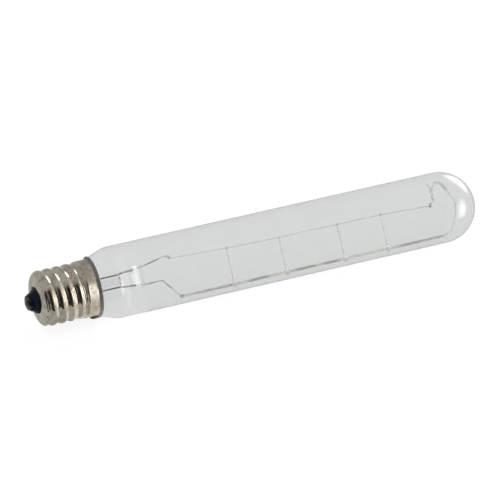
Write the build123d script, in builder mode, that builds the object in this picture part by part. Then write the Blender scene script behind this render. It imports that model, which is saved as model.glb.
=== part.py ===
"""A clear tubular filament lamp with a nickel-plated screw cap of intermediate size.

The lamp lies along X, its cap at low X and its rounded end at high X, with +Z up. The origin is the
middle of the flat on the centre contact. All sizes are in millimetres.
"""

import os
from math import cos, radians, sin, tan

from build123d import *

# Glass envelope
overall_length = 137.0
tube_dia = 20.6
glass_wall = 0.8
neck_clearance = 0.65
cone_length = 5.4
cone_blend = 9.2
mouth_blend = 2.0

# Screw cap, drawn and rolled from thin sheet
sheet = 0.3
cap_length = 17.1
thread_crest_dia = 16.45
thread_depth = 0.675
thread_pitch = 2.822
thread_first_crest = 2.335
thread_crest_width = 0.5
thread_shoulder_width = 1.67
thread_shoulder_height = 0.27
end_hole_dia = 7.8
end_flat_width = 1.1
end_curve_length = 2.5
collar_drop = 0.05
collar_length = 3.1
collar_run_in = 0.8
lip_reach = 0.725
lip_flare = 46.0

# Insulator, moulded into the end of the cap
insulator_height = 2.0
insulator_tip_dia = 4.9
insulator_step_width = 0.35
insulator_step_height = 0.9
insulator_flange_height = 2.4

# Centre contact: an eyelet through the insulator, closed with solder
contact_height = 0.6
contact_dia = 4.3
contact_edge = 0.25
eyelet_dia = 1.8
eyelet_bore = 0.8
button_height = 0.35
button_dia = 3.4
button_flat_dia = 1.8
plug_depth = 0.9

# Glass stem that carries the mount
stem_length = 27.2
stem_dia = 5.5
stem_wall = 0.6
flare_length = 6.5
bore_corner = 0.7
press_width = 6.5
press_thickness = 2.6
press_length = 3.2
press_taper = 2.4
press_root = 1.0
press_edge = 0.4
exhaust_dia = 2.2
exhaust_wall = 0.4
exhaust_tail = 1.2
exhaust_tip_gap = 1.0
vent_dia = 0.9
vent_setback = 1.5

# Wires
outer_lead_dia = 0.4
seal_wire_dia = 0.5
inner_lead_dia = 0.6
rod_dia = 0.85
filament_dia = 0.45
hook_wire_dia = 0.25
seal_cover = 0.9
lead_bend = 0.6
lead_run_out = 1.0

# The mount stands in one plane through the lamp's axis, turned about the axis from upright
mount_turn = 36.4
lead_spread = 5.0
short_lead_length = 8.8
short_lead_crest = 4.0
long_lead_knee = 5.4
rod_gap = 0.875
rod_start = 10.0
rod_bend = 4.0
loop_end_gap = 3.6
loop_return_gap = 1.375
loop_return_drop = 0.7
loop_bend = 5.5
rod_hook_bend = 1.0
filament_start_rise = 3.05
filament_end_rise = 1.1
clamp_length = 2.3
clamp_height = 0.95
clamp_width = 0.8
far_clamp_length = 1.1
far_clamp_height = 1.8
weld_dia = 1.3

# Supports: how far each one stands from the end of the press, and how high it holds the filament
supports = [(26.2, 2.3), (42.2, 1.95), (60.2, 1.85), (73.6, 1.75)]
bead_dia = 2.0
bead_length = 1.7
hook_root = 0.75
hook_curl = 250.0
hook_corners = 4

# Solder at the side, over the end of the shell's lead
side_solder_length = 1.6
side_solder_thickness = 1.9

# Cement between cap and glass
cement_length = 1.9

# Clearances
lip_gap = 0.08
wire_gap = 0.02
ridge_gap = 0.04
ridge_root = 0.1
form_margin = 0.05

# Radii
tube_radius = tube_dia / 2
crest_radius = thread_crest_dia / 2
root_radius = crest_radius - thread_depth
collar_radius = crest_radius - collar_drop
lip_radius = collar_radius + lip_reach
neck_radius = root_radius - sheet - neck_clearance
end_flat_radius = end_hole_dia / 2 + end_flat_width
stem_radius = stem_dia / 2
bore_radius = stem_radius - stem_wall
seal_radius = neck_radius - glass_wall
hook_wire_radius = hook_wire_dia / 2
loop_radius = filament_dia / 2 + wire_gap + hook_wire_radius

# The rod and its loop keep a clear gap to the glass, measured across the tube
rod_reach = tube_radius - glass_wall - rod_dia / 2
rod_offset = rod_reach - rod_gap
loop_return_offset = rod_reach - loop_return_gap

# Places along the lamp
contact_x = button_height
insulator_x = contact_x + contact_height
cap_x = insulator_x + insulator_height
flange_x = cap_x + sheet
flange_end_x = flange_x + insulator_flange_height
rim_x = cap_x + cap_length
collar_x = rim_x - collar_length
tail_x = flange_end_x + exhaust_tip_gap
seal_x = tail_x + exhaust_tail
press_end_x = seal_x + stem_length
press_x = press_end_x - press_length
taper_x = press_x - press_taper
bore_end_x = taper_x - press_root
dome_x = overall_length - tube_radius
tube_x = rim_x + cone_length
rod_x = press_end_x + rod_start

# The lip flares at a steady slope: its outer face ends at the lip's edge, its inner face at the rim
lip_slope = tan(radians(lip_flare))
lip_edge_x = rim_x - sheet * sin(radians(lip_flare))


def lip_line(x, depth):
    """Radius at x of the line that runs parallel to the lip's outer face, a depth under it."""
    return lip_radius + (x - lip_edge_x) * lip_slope - depth / cos(radians(lip_flare))


def lip_line_x(radius, depth):
    """Place along the lamp where that line has a radius."""
    return lip_edge_x + (radius - lip_radius + depth / cos(radians(lip_flare))) / lip_slope


# The glass follows the lip's inner face, a gap under it
glass_depth = sheet + lip_gap
mouth_radius = lip_line(rim_x, glass_depth)
neck_top_x = lip_line_x(neck_radius, glass_depth)

# The mount's plane, seen from the side with the mount's up as its local Y
turn = radians(mount_turn)
mount_plane = Plane(origin=(0, 0, 0), x_dir=(1, 0, 0), z_dir=(0, -cos(turn), sin(turn)))


def across(x):
    """The plane across the lamp at x, with the mount's up as its local Y."""
    return Plane(origin=(x, 0, 0), x_dir=(0, cos(turn), -sin(turn)), z_dir=(1, 0, 0))


def run_wire(points, bends, diameter, joint=Transition.RIGHT):
    """Adds a round wire along straight runs in the mount's plane, with bends or else plain joints."""
    with BuildLine(mount_plane) as route:
        if bends:
            FilletPolyline(*points, radius=bends)
        else:
            Polyline(*points)
    with BuildSketch(Plane(origin=route.line @ 0, z_dir=route.line % 0)) as section:
        Circle(diameter / 2)
    sweep(section.sketch, path=route.line, transition=joint)


def add_clamp(centre, length, height):
    """Adds the flattened end that is folded over the filament."""
    with BuildSketch(mount_plane) as outline:
        with Locations(centre):
            RectangleRounded(length, height, min(length, height) / 4)
    extrude(outline.sketch, amount=clamp_width / 2, both=True)


def add_barrel(centre, length, diameter):
    """Adds a blob about a line parallel to the lamp's axis, narrowed to half its width at both ends."""
    with BuildSketch(mount_plane) as outline:
        with Locations(centre):
            Polygon(
                (-length / 2, 0),
                (-length / 2, diameter / 4),
                (-length / 4, diameter / 2),
                (length / 4, diameter / 2),
                (length / 2, diameter / 4),
                (length / 2, 0),
                align=None,
            )
    revolve(outline.sketch, axis=Axis(mount_plane.from_local_coords(centre), (1, 0, 0)))


# Glass envelope: neck, mouth, cone, tube and round end in one blown piece
def glass_outline(inset):
    """The outline of the envelope, an inset under its outer face, closed on the axis."""
    with BuildSketch() as outline:
        with BuildLine():
            side = FilletPolyline(
                (neck_top_x, neck_radius - inset),
                (rim_x, mouth_radius - inset),
                (tube_x, tube_radius - inset),
                (dome_x, tube_radius - inset),
                radius=[mouth_blend - inset, cone_blend - inset],
            )
            RadiusArc(side @ 1, (overall_length - inset, 0), tube_radius - inset)
            Polyline((overall_length - inset, 0), (seal_x, 0), (seal_x, neck_radius - inset), side @ 0)
        make_face()
    return outline.sketch


with BuildPart() as glass_blank:
    revolve(glass_outline(0), axis=Axis.X)

with BuildPart() as glass_bulb:
    add(glass_blank.part)
    revolve(glass_outline(glass_wall), axis=Axis.X, mode=Mode.SUBTRACT)

# Screw cap. Its rolled thread is a ridge of five flats that runs round the root cylinder.
thread_start_x = cap_x + thread_first_crest - thread_pitch
thread_length = collar_x + thread_pitch / 2 - thread_start_x
end_corner_x = cap_x + end_curve_length


def add_thread():
    """Adds the threaded barrel of the cap, which runs on past both its ends."""
    spiral = Helix(
        pitch=thread_pitch,
        height=thread_length,
        radius=root_radius,
        center=(thread_start_x, 0, 0),
        direction=(1, 0, 0),
        mode=Mode.PRIVATE,
    )
    foot = (thread_pitch - ridge_gap) / 2
    with BuildSketch(Plane(origin=spiral @ 0, x_dir=(1, 0, 0), z_dir=(0, -1, 0))) as ridge:
        Polygon(
            (-foot, -ridge_root),
            (-thread_shoulder_width / 2, thread_shoulder_height),
            (-thread_crest_width / 2, thread_depth),
            (thread_crest_width / 2, thread_depth),
            (thread_shoulder_width / 2, thread_shoulder_height),
            (foot, -ridge_root),
            align=None,
        )
    sweep(ridge.sketch, path=spiral, is_frenet=True)
    with BuildSketch(Plane.YZ.offset(thread_start_x)) as root:
        Circle(root_radius)
    extrude(root.sketch, amount=thread_length)


def end_outline():
    """The outline that rounds the barrel off at the cap's end and ends it at the collar."""
    limit = crest_radius + form_margin
    with BuildSketch() as outline:
        with BuildLine():
            TangentArc((cap_x, end_flat_radius), (end_corner_x, limit), tangent=(0, 1))
            Polyline(
                (end_corner_x, limit),
                (collar_x, limit),
                (collar_x, 0),
                (cap_x, 0),
                (cap_x, end_flat_radius),
            )
        make_face()
    return outline.sketch


with BuildPart() as collar_blank:
    with BuildSketch():
        Polygon(
            (collar_x - collar_run_in, 0),
            (collar_x - collar_run_in, root_radius - form_margin),
            (collar_x, collar_radius),
            (lip_line_x(collar_radius, 0), collar_radius),
            (lip_edge_x, lip_radius),
            (rim_x, lip_line(rim_x, sheet)),
            (rim_x, 0),
            align=None,
        )
    revolve(axis=Axis.X)

with BuildPart() as cap_inside:
    with BuildSketch():
        Polygon(
            (flange_x, 0),
            (flange_x, end_flat_radius),
            (end_corner_x, root_radius - sheet),
            (collar_x - collar_run_in, root_radius - sheet),
            (collar_x, collar_radius - sheet),
            (lip_line_x(collar_radius - sheet, sheet), collar_radius - sheet),
            (rim_x, lip_line(rim_x, sheet)),
            (rim_x, 0),
            align=None,
        )
    revolve(axis=Axis.X)

with BuildPart() as screw_shell:
    add_thread()
    revolve(end_outline(), axis=Axis.X, mode=Mode.INTERSECT)
    add(collar_blank.part)
    add(cap_inside.part, mode=Mode.SUBTRACT)
    with BuildSketch(Plane.YZ.offset(cap_x)):
        Circle(end_hole_dia / 2)
    extrude(amount=2 * sheet, mode=Mode.SUBTRACT)

# Insulator: a stepped cone outside the cap, a neck through its end hole and a flange inside it
with BuildPart() as insulator:
    with BuildSketch():
        with BuildLine():
            tip_radius = insulator_tip_dia / 2
            step_x = insulator_x + insulator_step_height
            Polyline(
                (insulator_x, 0),
                (insulator_x, tip_radius),
                (step_x, tip_radius + insulator_step_width),
                (cap_x, end_hole_dia / 2),
                (flange_x, end_hole_dia / 2),
                (flange_x, end_flat_radius),
                (flange_end_x, end_flat_radius),
                (flange_end_x, 0),
                close=True,
            )
        make_face()
    revolve(axis=Axis.X)
    with BuildSketch(Plane.YZ.offset(insulator_x)):
        Circle(eyelet_dia / 2)
    extrude(amount=flange_end_x - insulator_x, mode=Mode.SUBTRACT)

# Centre contact: a plate with its edge turned down and a tube through the insulator
with BuildPart() as centre_contact:
    with BuildSketch(Plane.YZ.offset(contact_x)):
        Circle(contact_dia / 2)
    extrude(amount=contact_height)
    chamfer(centre_contact.edges().group_by(Axis.X)[0], length=contact_edge)
    with BuildSketch(Plane.YZ.offset(insulator_x)):
        Circle(eyelet_dia / 2)
    extrude(amount=flange_end_x - insulator_x)
    with BuildSketch(Plane.YZ.offset(contact_x)):
        Circle(eyelet_bore / 2)
    extrude(amount=flange_end_x - contact_x, mode=Mode.SUBTRACT)

# Leads and seal wires. Each seal wire lies straight in the press, and both leads run on from it.
lead_in_bore = bore_radius - outer_lead_dia
seal_rise = (lead_spread / 2 - lead_in_bore) / (press_end_x - bore_end_x)


def seal_point(x, side):
    """The point on a seal wire's line at x, above the axis for side 1 and below it for side -1."""
    return (x, side * (lead_in_bore + (x - bore_end_x) * seal_rise))


outer_joint_x = bore_end_x + seal_cover
inner_joint_x = press_end_x - seal_cover
gap_radius = neck_radius + wire_gap + outer_lead_dia / 2
gap_depth = glass_depth - wire_gap - outer_lead_dia / 2
turn_x = (tail_x + seal_x) / 2
solder_x = lip_edge_x
solder_rise = lip_line(solder_x, gap_depth)

with BuildPart() as upper_seal_wire:
    run_wire([seal_point(outer_joint_x, 1), seal_point(inner_joint_x, 1)], [], seal_wire_dia)

with BuildPart() as lower_seal_wire:
    run_wire([seal_point(outer_joint_x, -1), seal_point(inner_joint_x, -1)], [], seal_wire_dia)

with BuildPart() as contact_lead:
    run_wire(
        [
            (button_height / 2, 0),
            (flange_end_x, 0),
            (seal_x, lead_in_bore),
            seal_point(bore_end_x, 1),
            seal_point(outer_joint_x, 1),
        ],
        [],
        outer_lead_dia,
    )

with BuildPart() as shell_lead:
    run_wire(
        [
            (solder_x, -solder_rise),
            (lip_line_x(gap_radius, gap_depth), -gap_radius),
            (turn_x, -gap_radius),
            (turn_x, -lead_in_bore),
            seal_point(bore_end_x, -1),
            seal_point(outer_joint_x, -1),
        ],
        [],
        outer_lead_dia,
    )

# Filament: its coil's outer form, straight between the places that hold it
short_clamp_x = press_end_x + short_lead_length + clamp_length / 2
far_clamp_x = overall_length - glass_wall - tube_radius - loop_end_gap + far_clamp_length
filament_points = [
    (short_clamp_x - clamp_length / 2, filament_start_rise),
    *[(press_end_x + reach, rise) for reach, rise in supports],
    (far_clamp_x + far_clamp_length / 2, filament_end_rise),
]

with BuildPart() as filament:
    run_wire(filament_points, [], filament_dia, joint=Transition.TRANSFORMED)

# Side rod: along the lower wall, round the end and back, then down to the filament's far end
loop_x = overall_length - glass_wall - loop_end_gap
with BuildPart() as side_rod:
    run_wire(
        [
            (rod_x, -rod_offset),
            (loop_x - rod_bend, -rod_offset),
            (loop_x, 0),
            (loop_x - rod_bend, loop_return_offset - loop_return_drop),
            (far_clamp_x, loop_return_offset),
            (far_clamp_x, filament_end_rise),
        ],
        [rod_bend, loop_bend, rod_bend, rod_hook_bend],
        rod_dia,
    )
    add_clamp((far_clamp_x, filament_end_rise), far_clamp_length, far_clamp_height)
    add(filament.part, mode=Mode.SUBTRACT)

# Inner leads: the short one holds the filament's near end, the long one is welded to the side rod
with BuildPart() as short_lead:
    run_wire(
        [
            seal_point(inner_joint_x, 1),
            seal_point(press_end_x + lead_run_out, 1),
            (short_clamp_x - clamp_length, short_lead_crest),
            (short_clamp_x, filament_start_rise),
        ],
        [lead_bend, lead_bend],
        inner_lead_dia,
    )
    add_clamp((short_clamp_x, filament_start_rise), clamp_length, clamp_height)
    add(filament.part, mode=Mode.SUBTRACT)

with BuildPart() as long_lead:
    run_wire(
        [
            seal_point(inner_joint_x, -1),
            seal_point(press_end_x + lead_run_out, -1),
            (press_end_x + long_lead_knee, -lead_spread / 2),
            (rod_x, -rod_offset),
        ],
        [lead_bend, lead_bend],
        inner_lead_dia,
    )
    add_barrel((rod_x, -rod_offset), weld_dia, weld_dia)
    add(side_rod.part, mode=Mode.SUBTRACT)

# Stem: a tube flared to the neck at one end and pressed flat over the seal wires at the other
side_plane = Plane(origin=(0, 0, 0), x_dir=(1, 0, 0), z_dir=(0, sin(turn), cos(turn)))
far_side = Vector(0, cos(turn), -sin(turn))


def stem_outline(radius, start_x, end_x):
    """The outline of the stem's tube or its bore: a cone at the neck and a chamfer at the other end."""
    flare_x = seal_x + flare_length
    with BuildSketch() as outline:
        Polygon(
            (start_x - stem_wall, 0),
            (start_x - stem_wall, seal_radius),
            (start_x, seal_radius),
            (flare_x, radius),
            (end_x - bore_corner, radius),
            (end_x, radius - bore_corner),
            (end_x, 0),
            align=None,
        )
    return outline.sketch


def cut_vent():
    """Cuts the hole through which the lamp is pumped out, on the mount's far side."""
    vent_x = bore_end_x - vent_setback
    with BuildSketch(Plane(origin=(vent_x, 0, 0), x_dir=(1, 0, 0), z_dir=far_side)) as hole:
        Circle(vent_dia / 2)
    extrude(hole.sketch, amount=stem_dia, mode=Mode.SUBTRACT)


with BuildPart() as press_blank:
    with BuildSketch():
        Polygon(
            (taper_x, 0),
            (taper_x, stem_radius),
            (press_x, press_width / 2),
            (press_end_x, press_width / 2),
            (press_end_x, 0),
            align=None,
        )
    revolve(axis=Axis.X)
    with BuildSketch(side_plane):
        Polygon(
            (taper_x, stem_radius),
            (press_x, press_thickness / 2),
            (press_end_x, press_thickness / 2),
            (press_end_x, -press_thickness / 2),
            (press_x, -press_thickness / 2),
            (taper_x, -stem_radius),
            align=None,
        )
    extrude(amount=press_width, both=True, mode=Mode.INTERSECT)
    chamfer(press_blank.faces().sort_by(Axis.X)[-1].edges(), length=press_edge)

with BuildPart() as stem:
    revolve(stem_outline(stem_radius, seal_x + stem_wall, taper_x + bore_corner), axis=Axis.X)
    add(press_blank.part)
    revolve(stem_outline(bore_radius, seal_x, bore_end_x), axis=Axis.X, mode=Mode.SUBTRACT)
    cut_vent()
    for wire in (upper_seal_wire, lower_seal_wire, contact_lead, shell_lead, short_lead, long_lead):
        add(wire.part, mode=Mode.SUBTRACT)


# Exhaust tube: runs down the stem's bore from the press, its tail melted shut
with BuildPart() as exhaust_tube:
    exhaust_radius = exhaust_dia / 2
    with BuildSketch():
        with BuildLine():
            RadiusArc((tail_x, 0), (tail_x + exhaust_radius, exhaust_radius), exhaust_radius)
            Polyline(
                (tail_x + exhaust_radius, exhaust_radius),
                (bore_end_x, exhaust_radius),
                (bore_end_x, 0),
                (tail_x, 0),
            )
        make_face()
    revolve(axis=Axis.X)
    with BuildSketch(Plane.YZ.offset(bore_end_x)):
        Circle(exhaust_radius - exhaust_wall)
    extrude(amount=tail_x + 2 * exhaust_wall - bore_end_x, mode=Mode.SUBTRACT)
    cut_vent()

# Solder: a button on the centre contact that runs into its tube, and a blob on the cap's lip
with BuildPart() as centre_solder:
    with BuildSketch():
        with BuildLine():
            TangentArc((0, button_flat_dia / 2), (contact_x, button_dia / 2), tangent=(0, 1))
            Polyline(
                (0, button_flat_dia / 2),
                (0, 0),
                (contact_x + plug_depth, 0),
                (contact_x + plug_depth, eyelet_bore / 2),
                (contact_x, eyelet_bore / 2),
                (contact_x, button_dia / 2),
            )
        make_face()
    revolve(axis=Axis.X)
    add(contact_lead.part, mode=Mode.SUBTRACT)

with BuildPart() as side_solder:
    add_barrel((solder_x, -collar_radius), side_solder_length, side_solder_thickness)
    for neighbour in (collar_blank, glass_blank, shell_lead):
        add(neighbour.part, mode=Mode.SUBTRACT)

# Cement between the collar and the glass neck
with BuildPart() as basing_cement:
    with BuildSketch(Plane.YZ.offset(collar_x)):
        Circle(collar_radius - sheet)
    extrude(amount=cement_length)
    for neighbour in (glass_blank, shell_lead):
        add(neighbour.part, mode=Mode.SUBTRACT)

# The lip has a notch where the lead comes out
with BuildPart() as notched_shell:
    add(screw_shell.part)
    add(shell_lead.part, mode=Mode.SUBTRACT)

pieces = {
    "glass_bulb": glass_bulb,
    "screw_shell": notched_shell,
    "insulator": insulator,
    "centre_contact": centre_contact,
    "centre_solder": centre_solder,
    "side_solder": side_solder,
    "basing_cement": basing_cement,
    "stem": stem,
    "exhaust_tube": exhaust_tube,
    "contact_lead": contact_lead,
    "shell_lead": shell_lead,
    "upper_seal_wire": upper_seal_wire,
    "lower_seal_wire": lower_seal_wire,
    "short_lead": short_lead,
    "long_lead": long_lead,
    "side_rod": side_rod,
    "filament": filament,
}

# Supports: a wire hooked over the filament, its foot melted into a glass bead on the side rod
def hook_points(rise):
    """The corners of the wire's curl round the filament and its end, in a plane across the lamp."""
    step = radians(hook_curl) / hook_corners
    corner_radius = loop_radius / cos(step / 2)
    turns = [(corner_radius, (number + 0.5) * step) for number in range(hook_corners)]
    turns.append((loop_radius, hook_corners * step))
    return [(radius * cos(angle), rise + radius * sin(angle)) for radius, angle in turns]


for number, (reach, rise) in enumerate(supports, start=1):
    with BuildPart() as support_hook:
        with BuildLine(across(press_end_x + reach)) as route:
            Polyline((loop_radius, hook_root - rod_offset), *hook_points(rise))
        with BuildSketch(Plane(origin=route.line @ 0, z_dir=route.line % 0)):
            Circle(hook_wire_radius)
        sweep(path=route.line, transition=Transition.RIGHT)
    with BuildPart() as support_bead:
        add_barrel((press_end_x + reach, -rod_offset), bead_length, bead_dia)
        for neighbour in (side_rod, support_hook):
            add(neighbour.part, mode=Mode.SUBTRACT)
    pieces[f"support_hook_{number}"] = support_hook
    pieces[f"support_bead_{number}"] = support_bead

os.makedirs("parts", exist_ok=True)
for name, piece in pieces.items():
    piece.part.label = name
    export_step(piece.part, f"parts/{name}.step")
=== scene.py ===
"""Dresses the tubular filament lamp: envelope, rolled nickel cap, glass stem, coiled filament and mount.

Sizes are in millimetres in the classes, and become metres when a mesh is made. The lamp lies along X with
its contact at the origin, as in the fixed frame.
"""

import logging
import math
from dataclasses import dataclass
from enum import Enum
from typing import Callable, Iterable, Sequence

import bmesh
import bpy
import numpy as np
from mathutils import Matrix, Vector, noise

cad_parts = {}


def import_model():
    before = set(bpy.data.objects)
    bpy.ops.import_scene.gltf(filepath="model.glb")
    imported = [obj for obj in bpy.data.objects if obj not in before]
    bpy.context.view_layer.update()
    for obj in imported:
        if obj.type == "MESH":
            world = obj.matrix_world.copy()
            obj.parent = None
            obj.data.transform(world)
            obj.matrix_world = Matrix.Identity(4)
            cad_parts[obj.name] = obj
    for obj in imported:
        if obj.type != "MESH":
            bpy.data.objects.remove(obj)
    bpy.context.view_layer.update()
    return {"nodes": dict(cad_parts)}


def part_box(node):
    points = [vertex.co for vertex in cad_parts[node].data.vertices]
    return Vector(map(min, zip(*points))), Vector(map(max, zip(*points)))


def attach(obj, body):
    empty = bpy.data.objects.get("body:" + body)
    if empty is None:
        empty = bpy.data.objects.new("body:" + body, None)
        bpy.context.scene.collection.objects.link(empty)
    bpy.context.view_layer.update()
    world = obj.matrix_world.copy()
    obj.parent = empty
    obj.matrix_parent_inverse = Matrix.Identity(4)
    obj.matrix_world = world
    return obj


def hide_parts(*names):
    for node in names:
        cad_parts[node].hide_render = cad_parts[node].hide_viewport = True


MM = 0.001
BODY = "root"
TAU = math.tau

log = logging.getLogger("lamp")

Pair = tuple[float, float]
Point = tuple[float, float, float]
Colour = tuple[float, float, float]
Outline = list[Pair]


class Slot(Enum):
    """The record's material slots."""

    CLEAR_GLASS = "clear_glass"
    STEM_GLASS = "stem_glass"
    BEAD_GLASS = "bead_glass"
    NICKEL_PLATE = "nickel_plate"
    BLACK_GLASS = "black_glass"
    CONTACT_METAL = "contact_metal"
    SOLDER = "solder"
    CEMENT = "cement"
    COPPER_LEAD = "copper_lead"
    SEAL_WIRE = "seal_wire"
    NICKEL_WIRE = "nickel_wire"
    TUNGSTEN = "tungsten"
    SUPPORT_WIRE = "support_wire"


# Nodes of a material


def add_node(
    tree: bpy.types.NodeTree, kind: str, links: dict[str | int, object] | None = None, **settings: object
) -> bpy.types.Node:
    """Adds a node to a tree.

    Args:
        tree: The tree.
        kind: The node's type.
        links: Its inputs, by name or number: a socket to link or a constant.
        settings: Its own properties.

    Returns:
        The node.
    """
    node = tree.nodes.new(kind)
    for key, value in settings.items():
        setattr(node, key, value)
    for key, value in (links or {}).items():
        if isinstance(value, bpy.types.NodeSocket):
            tree.links.new(value, node.inputs[key])
        else:
            node.inputs[key].default_value = value
    return node


def maths(tree: bpy.types.NodeTree, how: str, *values: object) -> bpy.types.NodeSocket:
    """Adds a Math node on sockets or numbers and returns its result."""
    return add_node(tree, "ShaderNodeMath", dict(enumerate(values)), operation=how).outputs[0]


class NodeBuilder:
    """Builds one material's nodes on its Principled shader."""

    def __init__(self, name: str) -> None:
        """Starts a material.

        Args:
            name: The material's name.
        """
        self.material = bpy.data.materials.new(name)
        self.material.use_nodes = True
        self.tree = self.material.node_tree
        self.shader = self.tree.nodes["Principled BSDF"]
        self.place = self.tree.nodes.new("ShaderNodeTexCoord").outputs["Object"]
        self.normal: bpy.types.NodeSocket | None = None

    def set(self, **values: object) -> None:
        """Sets constants on the shader's own sockets, named in lower case with underscores."""
        for key, value in values.items():
            self.shader.inputs[key.replace("_", " ").title().replace("Ior", "IOR")].default_value = value

    def link(self, source: bpy.types.NodeSocket, socket: str) -> None:
        """Links a value to one of the shader's sockets."""
        self.tree.links.new(source, self.shader.inputs[socket])

    def noise(
        self, scale: float, detail: float = 3.0, distortion: float = 0.0, along: Point | None = None
    ) -> bpy.types.NodeSocket:
        """Adds noise on object coordinates.

        Args:
            scale: Features to the metre.
            detail: Octaves.
            distortion: How far the pattern is pulled about.
            along: Extra scale by axis, if the pattern is stretched.

        Returns:
            The noise value, about 0.5 on the whole.
        """
        place = self.place
        if along is not None:
            stretch = {"Vector": place, "Scale": along}
            place = add_node(self.tree, "ShaderNodeMapping", stretch).outputs["Vector"]
        links = {"Scale": scale, "Detail": detail, "Distortion": distortion, "Vector": place}
        return add_node(self.tree, "ShaderNodeTexNoise", links).outputs["Fac"]

    def coordinate(self, axis: str) -> bpy.types.NodeSocket:
        """Returns the place along one axis of the frame, in metres."""
        return add_node(self.tree, "ShaderNodeSeparateXYZ", {"Vector": self.place}).outputs[axis]

    def steps(self, value: bpy.types.NodeSocket, low: Pair, high: Pair) -> bpy.types.NodeSocket:
        """Maps a value smoothly.

        Args:
            value: What is mapped.
            low: The value at the low end and what it becomes.
            high: The value at the high end and what it becomes.

        Returns:
            The mapped value, held at both ends.
        """
        links = dict(zip(("Value", "From Min", "To Min", "From Max", "To Max"), (value, *low, *high)))
        node = add_node(self.tree, "ShaderNodeMapRange", links, interpolation_type="SMOOTHSTEP")
        return node.outputs["Result"]

    def mix(
        self, factor: bpy.types.NodeSocket, low: Colour | bpy.types.NodeSocket, high: Colour
    ) -> bpy.types.NodeSocket:
        """Mixes two colours.

        Args:
            factor: 0 for the low colour, 1 for the high one.
            low: A colour or a colour socket.
            high: A colour.

        Returns:
            The mixed colour.
        """
        start = low if isinstance(low, bpy.types.NodeSocket) else (*low, 1.0)
        links = {"Factor": factor, "A": start, "B": (*high, 1.0)}
        return add_node(self.tree, "ShaderNodeMix", links, data_type="RGBA").outputs["Result"]

    def bump(self, height: bpy.types.NodeSocket, depth: float) -> None:
        """Adds relief to the surface.

        Args:
            height: The relief's height, 0 to 1.
            depth: What 1 stands for, in millimetres.
        """
        links = {"Distance": depth * MM, "Strength": 1.0, "Height": height}
        if self.normal is not None:
            links["Normal"] = self.normal
        self.normal = add_node(self.tree, "ShaderNodeBump", links).outputs["Normal"]
        self.link(self.normal, "Normal")


# Finishes


@dataclass(frozen=True)
class Finish:
    """A finish with a name and a slot, which dresses pieces."""

    name: str
    slot: Slot

    def paint(self, nodes: NodeBuilder) -> None:
        """Sets up the shader. Each finish has its own."""
        raise NotImplementedError

    def material(self) -> bpy.types.Material:
        """Returns the finish's material, made once."""
        found = bpy.data.materials.get(self.name)
        if found is None:
            nodes = NodeBuilder(self.name)
            self.paint(nodes)
            found = nodes.material
        return found

    def dress(self, piece: bpy.types.Object) -> None:
        """Gives a piece this finish alone."""
        piece.data.materials.clear()
        piece.data.materials.append(self.material())


@dataclass(frozen=True)
class BlownGlass(Finish):
    """Clear glass that soaks up a little light and carries slow ripples from its blowing."""

    tint: Colour = (0.68, 0.685, 0.68)
    cloud: Colour = (0.665, 0.68, 0.68)
    clear: float = 1.0
    bend: float = 1.5
    ripple_scale: float = 90.0
    ripple_depth: float = 0.006
    # The milky band between two places along the lamp is a painted highlight: less clear glass that shows
    # white where the stem's press has a highlight.
    milky: Pair = (0.0, 0.0)
    painted_highlight_edge: float = 0.35
    painted_highlight_clear: float = 0.3

    def paint(self, nodes: NodeBuilder) -> None:
        """Sets up clear glass, milky between two places along the lamp if it has any; that milky band is a
        painted highlight.
        """
        nodes.set(roughness=0.0, ior=self.bend, transmission_weight=self.clear)
        if self.milky[1] > self.milky[0]:
            place = nodes.coordinate("X")
            low, high = (end * MM for end in self.milky)
            edge = self.painted_highlight_edge * MM
            before = nodes.steps(place, (low - edge, 1.0), (low, 0.0))
            after = nodes.steps(place, (high, 0.0), (high + edge, 1.0))
            outside = maths(nodes.tree, "MAXIMUM", before, after)
            # Painted highlight: the band lets less light through, so it shows white.
            milky = self.clear * self.painted_highlight_clear
            nodes.link(nodes.steps(outside, (0.0, milky), (1.0, self.clear)), "Transmission Weight")
        nodes.link(nodes.mix(nodes.noise(130.0, detail=2.0), self.tint, self.cloud), "Base Color")
        nodes.bump(nodes.noise(self.ripple_scale, detail=1.0, along=(0.35, 1.0, 1.0)), self.ripple_depth)


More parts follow.
